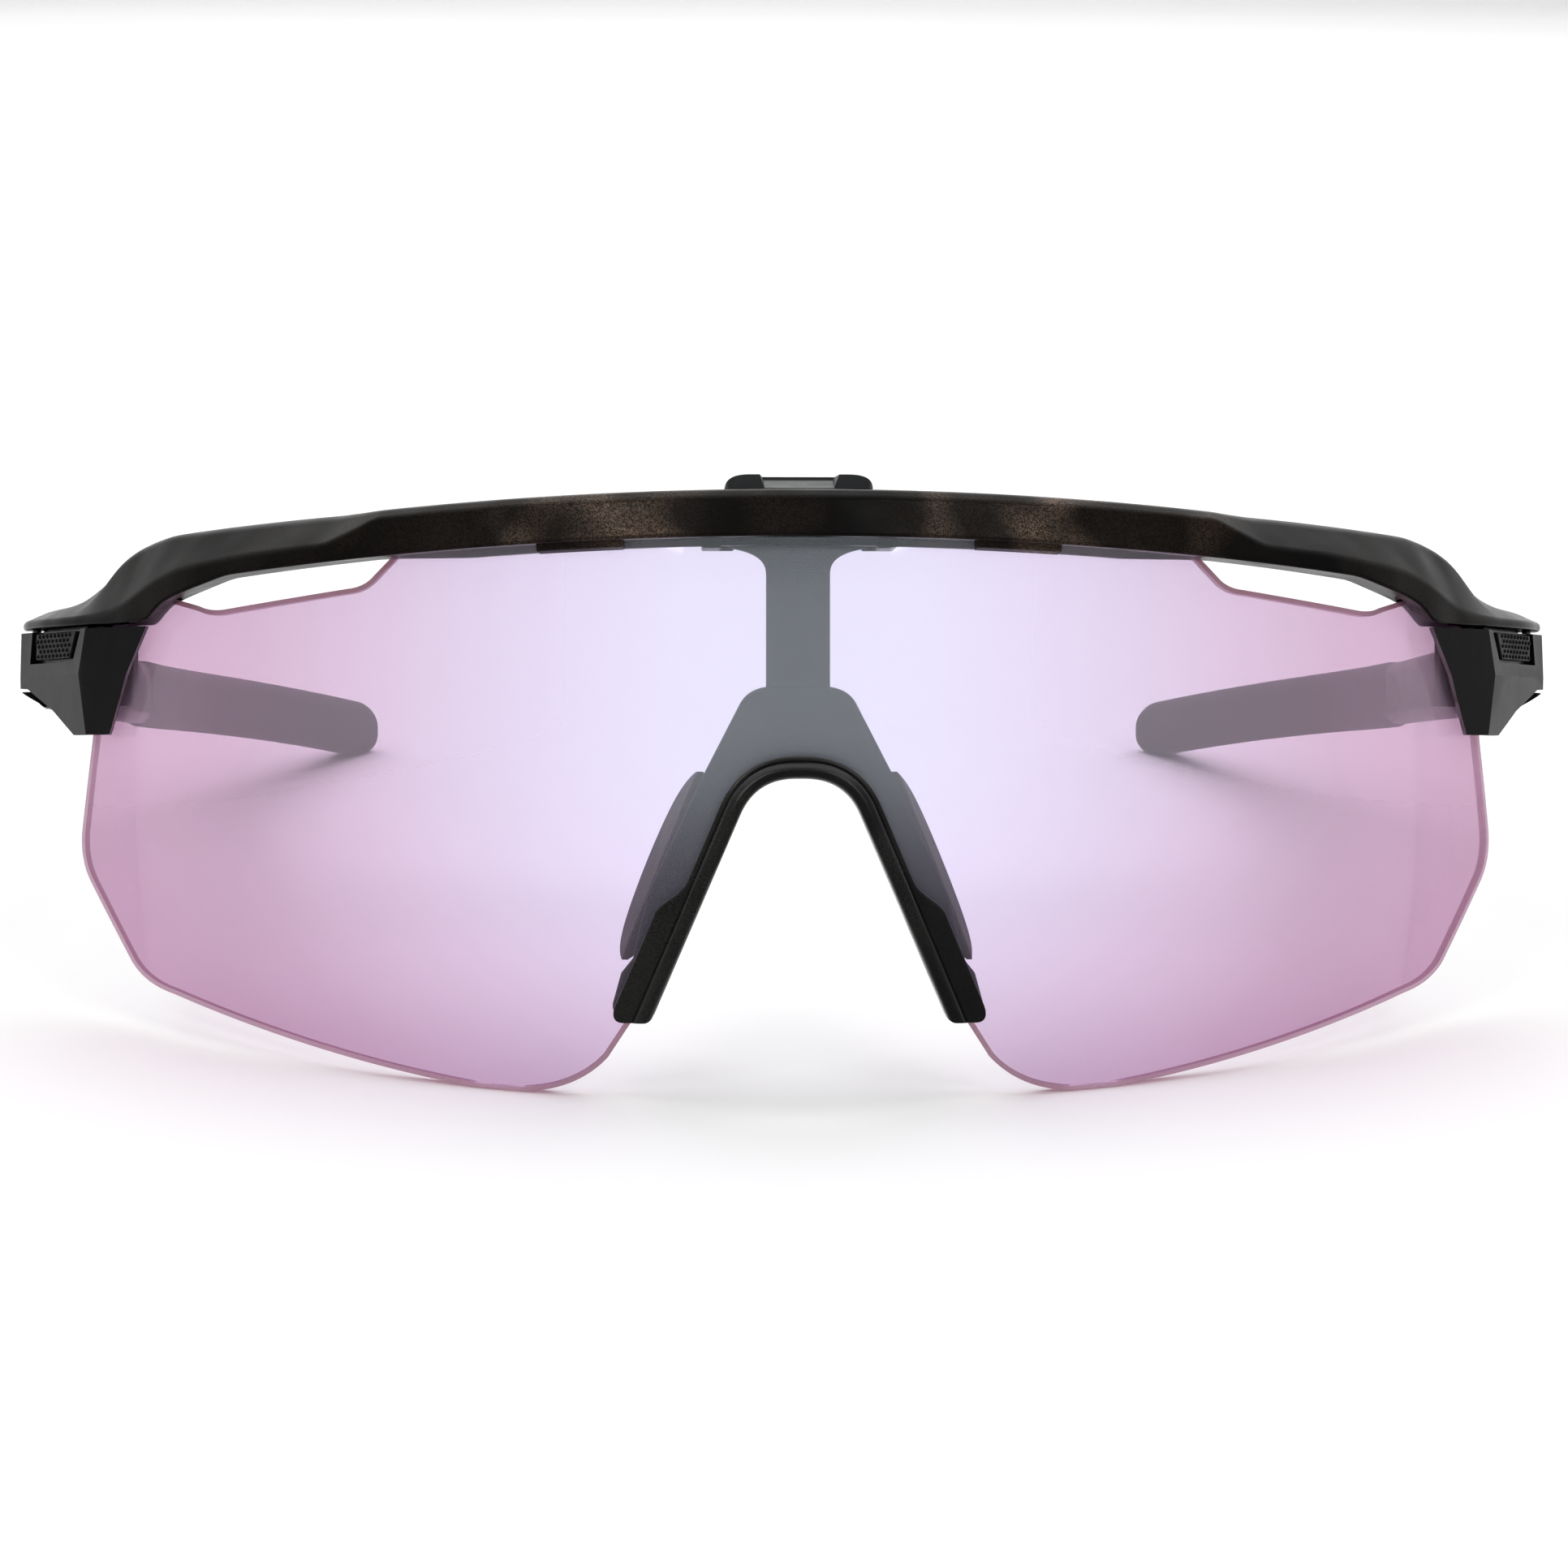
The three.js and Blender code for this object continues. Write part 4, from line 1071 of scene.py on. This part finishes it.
def nose_bridge():
    half = resample_line(nose_edge(0, NOSE_FOOT - 2), 74)
    line = [(-x, z) for x, z in reversed(half[1:])] + half
    rings = []
    for i, (x, z) in enumerate(line):
        before, after = line[max(i - 1, 0)], line[min(i + 1, len(line) - 1)]
        run = (Vector(after) - Vector(before)).normalized()
        out = Vector((-run.y, run.x))
        width = 1.75 + 1.5 * smooth(z, -9.2, -12.6)
        section = rounded([
            (-0.2, -1.85, 0.2), (0.85, -1.85, 0.2), (0.85, 0.35, 0.05), (width, 0.35, 0.12),
            (width, 0.65, 0.2), (width - 0.2, 0.75, 0.2), (1.36, 0.75, 0.1), (1.26, 0.68, 0.06),
            (1.2, 1.15, 0.4), (0.5, 1.65, 0.6), (-0.2, 1.05, 0.5),
        ], 4)
        ring = []
        for across, depth in section:
            place = Vector((x, z)) + out * across
            ring.append(on_lens(place.x, place.y, depth))
        rings.append(ring)
    feet = Outline(0, 5).to(24, 5).to(24, -19.2).to(16.1, -19.2).bend(16.75, NOSE_FOOT, 15.4, NOSE_FOOT)
    feet.to(13.7, NOSE_FOOT).bend(13.06, NOSE_FOOT, 12.8, -20.2).to(12, -19).to(0, -19)
    body = common(loft("bridge", rings), front_prism(mirrored_close(feet.points)))
    finish_piece(body, "nose_bridge", "frame", BRIDGE_BLACK, "bridge", ["nose_frame"])


nose_bridge()


# ---------------------------------------------------------------- strut, carrier and pads
def centre_strut():
    half = Outline(0, TAB_TOP - 1.1).to(HEAD, TAB_TOP - 1.1).to(HEAD, 21.6).bend(HEAD, 21, 5.6, 20.8, 6)
    half.bend(2.8, 20.3, STEM, 18.6, 12).to(STEM, 7.6).to(STEM - 0.9, 7.6).to(STEM - 0.9, 4.6).to(0, 4.6)
    plate = front_prism(mirrored_close(half.points), STRUT_Y, STRUT_Y + STRUT_THICK)
    back = STRUT_Y + STRUT_THICK
    tab = Outline(0, 3.9).to(HEAD - 1.5, 3.9).bend(HEAD, 3.9, HEAD, 5.4).to(HEAD, back)
    tab.bend(HEAD, 9.6, HEAD - 1.5, 9.6).to(0, 9.6)
    face = Outline(0, TAB_TOP).to(HEAD - 2.2, TAB_TOP).bend(HEAD, TAB_TOP, HEAD, TAB_TOP - 1.25, 10)
    top = plan_prism(mirrored_close(tab.points), TAB_TOP - 1.25, TAB_TOP)
    join(plate, common(top, front_prism(mirrored_close([*face.points, (0, TAB_TOP - 1.25)]))))
    scoop = [[(-3.8, 3.5, 28), (-3.05, 3.5, 25.9), (3.05, 3.5, 25.9), (3.8, 3.5, 28)],
             [(-3.8, 7.6, 28), (-3.05, 7.6, 26.95), (3.05, 7.6, 26.95), (3.8, 7.6, 28)]]
    cut(plate, loft("scoop", scoop))
    finish_piece(plate, "strut", "nose", CARRIER_GREY, "grey", ["centre_strut"], bevel=0.25)


def nose_carrier():
    half = Outline(0, 8.6).to(2.8, 8.6).bend(4.4, 8.4, 5.1, 7.2).to(8.6, 0.4).to(13.4, -10)
    half.to(14.6, -15.4).to(15.65, -16.7).to(16.4, -19.4).bend(16.5, -20.4, 15.6, -20.4, 5).to(13.9, -20.4)
    inner = list(reversed(nose_edge(0.9, -19.8)))
    plate = front_prism(mirrored_close(half.points + inner), CARRIER_Y, CARRIER_Y + CARRIER_THICK)
    finish_piece(plate, "carrier", "nose", CARRIER_GREY, "grey", ["nose_carrier"], bevel=0.3)


def pad_ring(z):
    """A pad's section at a height: it leans back and outwards from the carrier's leg."""
    off = z - PAD_MIDDLE
    end = math.sqrt(max(1 - (off / PAD_REACH) ** 2, 0))
    root = 8.9 + (1.15 - z) * 0.4 - 1.6
    flare = 0.25 + 1.0 * end
    deep = 2 + 6.2 * end
    section = rounded([
        (0, 0, 0.4), (1.7, 0, 0.4), (1.7 + flare * 0.5, deep * 0.55, 1.5), (1.7 + flare, deep, 0.6),
        (0.4 + flare, deep, 0.6), (flare * 0.4, deep * 0.5, 1.5),
    ], 4)
    tip = math.sqrt(max(1 - (abs(off) / (PAD_REACH - 0.2)) ** 8, 0.1))
    back = CARRIER_Y + CARRIER_THICK + GAP
    return [(root + 1.5 + (a - 1.5) * tip, back + b * lerp(0.8, 1, tip), z) for a, b in section]


def nose_pad():
    turns = steps(-math.pi / 2, math.pi / 2, 48)
    body = loft("pad", [pad_ring(PAD_MIDDLE + (PAD_REACH - 0.25) * math.sin(t)) for t in turns])
    both_sides(body, "pad", "nose", PAD_RUBBER, "pad", ["nose_pad_{side}"])


centre_strut()
nose_carrier()
nose_pad()


# ---------------------------------------------------------------- stage, light and camera
def floor():
    size, back, rise = 3.0, 3.8, 1.4
    sweep = [(-size, 0.0), (back, 0.0)]
    sweep += [(back + math.sin(a) * 0.5, 0.5 - math.cos(a) * 0.5) for a in steps(0, math.pi / 2, 16)]
    sweep.append((back + 0.5, rise + 0.5))
    points = [(x, y, z - 0.0001) for y, z in sweep for x in (-size, size)]
    faces = [(i * 2, i * 2 + 1, i * 2 + 3, i * 2 + 2) for i in range(len(sweep) - 1)]
    made = mesh_object("studio_floor", points, faces)
    material, nodes, links, shader = new_material("floor_white")
    space = texture_space(nodes)
    links.new(ramp(nodes, links, noise(nodes, links, space, 3), (0.3, grey(0.9)), (0.7, grey(0.92))),
              shader.inputs["Base Color"])
    shader.inputs["Roughness"].default_value = 0.9
    shader.inputs["Specular IOR Level"].default_value = 0.1
    made.data.materials.append(material)
    for polygon in made.data.polygons:
        polygon.use_smooth = True
    made.visible_glossy = False


def softbox(name, place, target, size, power):
    light = bpy.data.lights.new(name, "AREA")
    light.shape = "RECTANGLE"
    light.size, light.size_y = size
    light.energy = power
    obj = bpy.data.objects.new(name, light)
    obj.location = place
    obj.rotation_euler = (Vector(target) - Vector(place)).to_track_quat("-Z", "Y").to_euler()
    bpy.context.scene.collection.objects.link(obj)


def studio():
    floor()
    softbox("top_box", (0, 1.8, 1.5), (0, 1.8, 0), (2.8, 5.2), 57)
    for side in (-1, 1):
        place = TO_ROW @ Vector((side * 400, -760, 420))
        softbox(f"front_box_{side}", place, (0, -0.08, 0.05), (0.4, 0.14), 1.2)
    world = bpy.data.worlds.new("studio")
    bpy.context.scene.world = world
    world.use_nodes = True
    nodes, links = world.node_tree.nodes, world.node_tree.links
    coordinates = nodes.new("ShaderNodeTexCoord")
    parts = nodes.new("ShaderNodeSeparateXYZ")
    links.new(coordinates.outputs["Generated"], parts.inputs["Vector"])
    level = nodes.new("ShaderNodeMapRange")
    level.interpolation_type = "SMOOTHSTEP"
    level.inputs["From Min"].default_value = -0.15
    level.inputs["From Max"].default_value = 0.45
    level.inputs["To Min"].default_value = 0.12
    level.inputs["To Max"].default_value = 1.12
    links.new(parts.outputs["Y"], level.inputs["Value"])
    links.new(level.outputs["Result"], nodes["Background"].inputs["Strength"])
    nodes["Background"].inputs["Color"].default_value = (1, 1, 1, 1)


def camera():
    yaw, distance, aside, focal = 0.0281, 400, 1.45, 105.6
    data = bpy.data.cameras.new("camera")
    data.sensor_width = 36
    data.lens = focal
    data.clip_start, data.clip_end = 0.01, 20
    obj = bpy.data.objects.new("camera", data)
    turn = Matrix.Rotation(-yaw, 3, "Z")
    place = turn @ Vector((-aside, -distance, 0))
    tilt = TO_ROW.to_3x3() * (1 / MM)
    axes = Matrix((tilt @ turn @ Vector((1, 0, 0)), tilt @ Vector((0, 0, 1)),
                   tilt @ turn @ Vector((0, -1, 0)))).transposed()
    obj.matrix_world = Matrix.Translation(TO_ROW @ place) @ axes.to_4x4()
    bpy.context.scene.collection.objects.link(obj)
    bpy.context.scene.camera = obj


studio()
camera()
bpy.context.scene.view_settings.view_transform = "Standard"
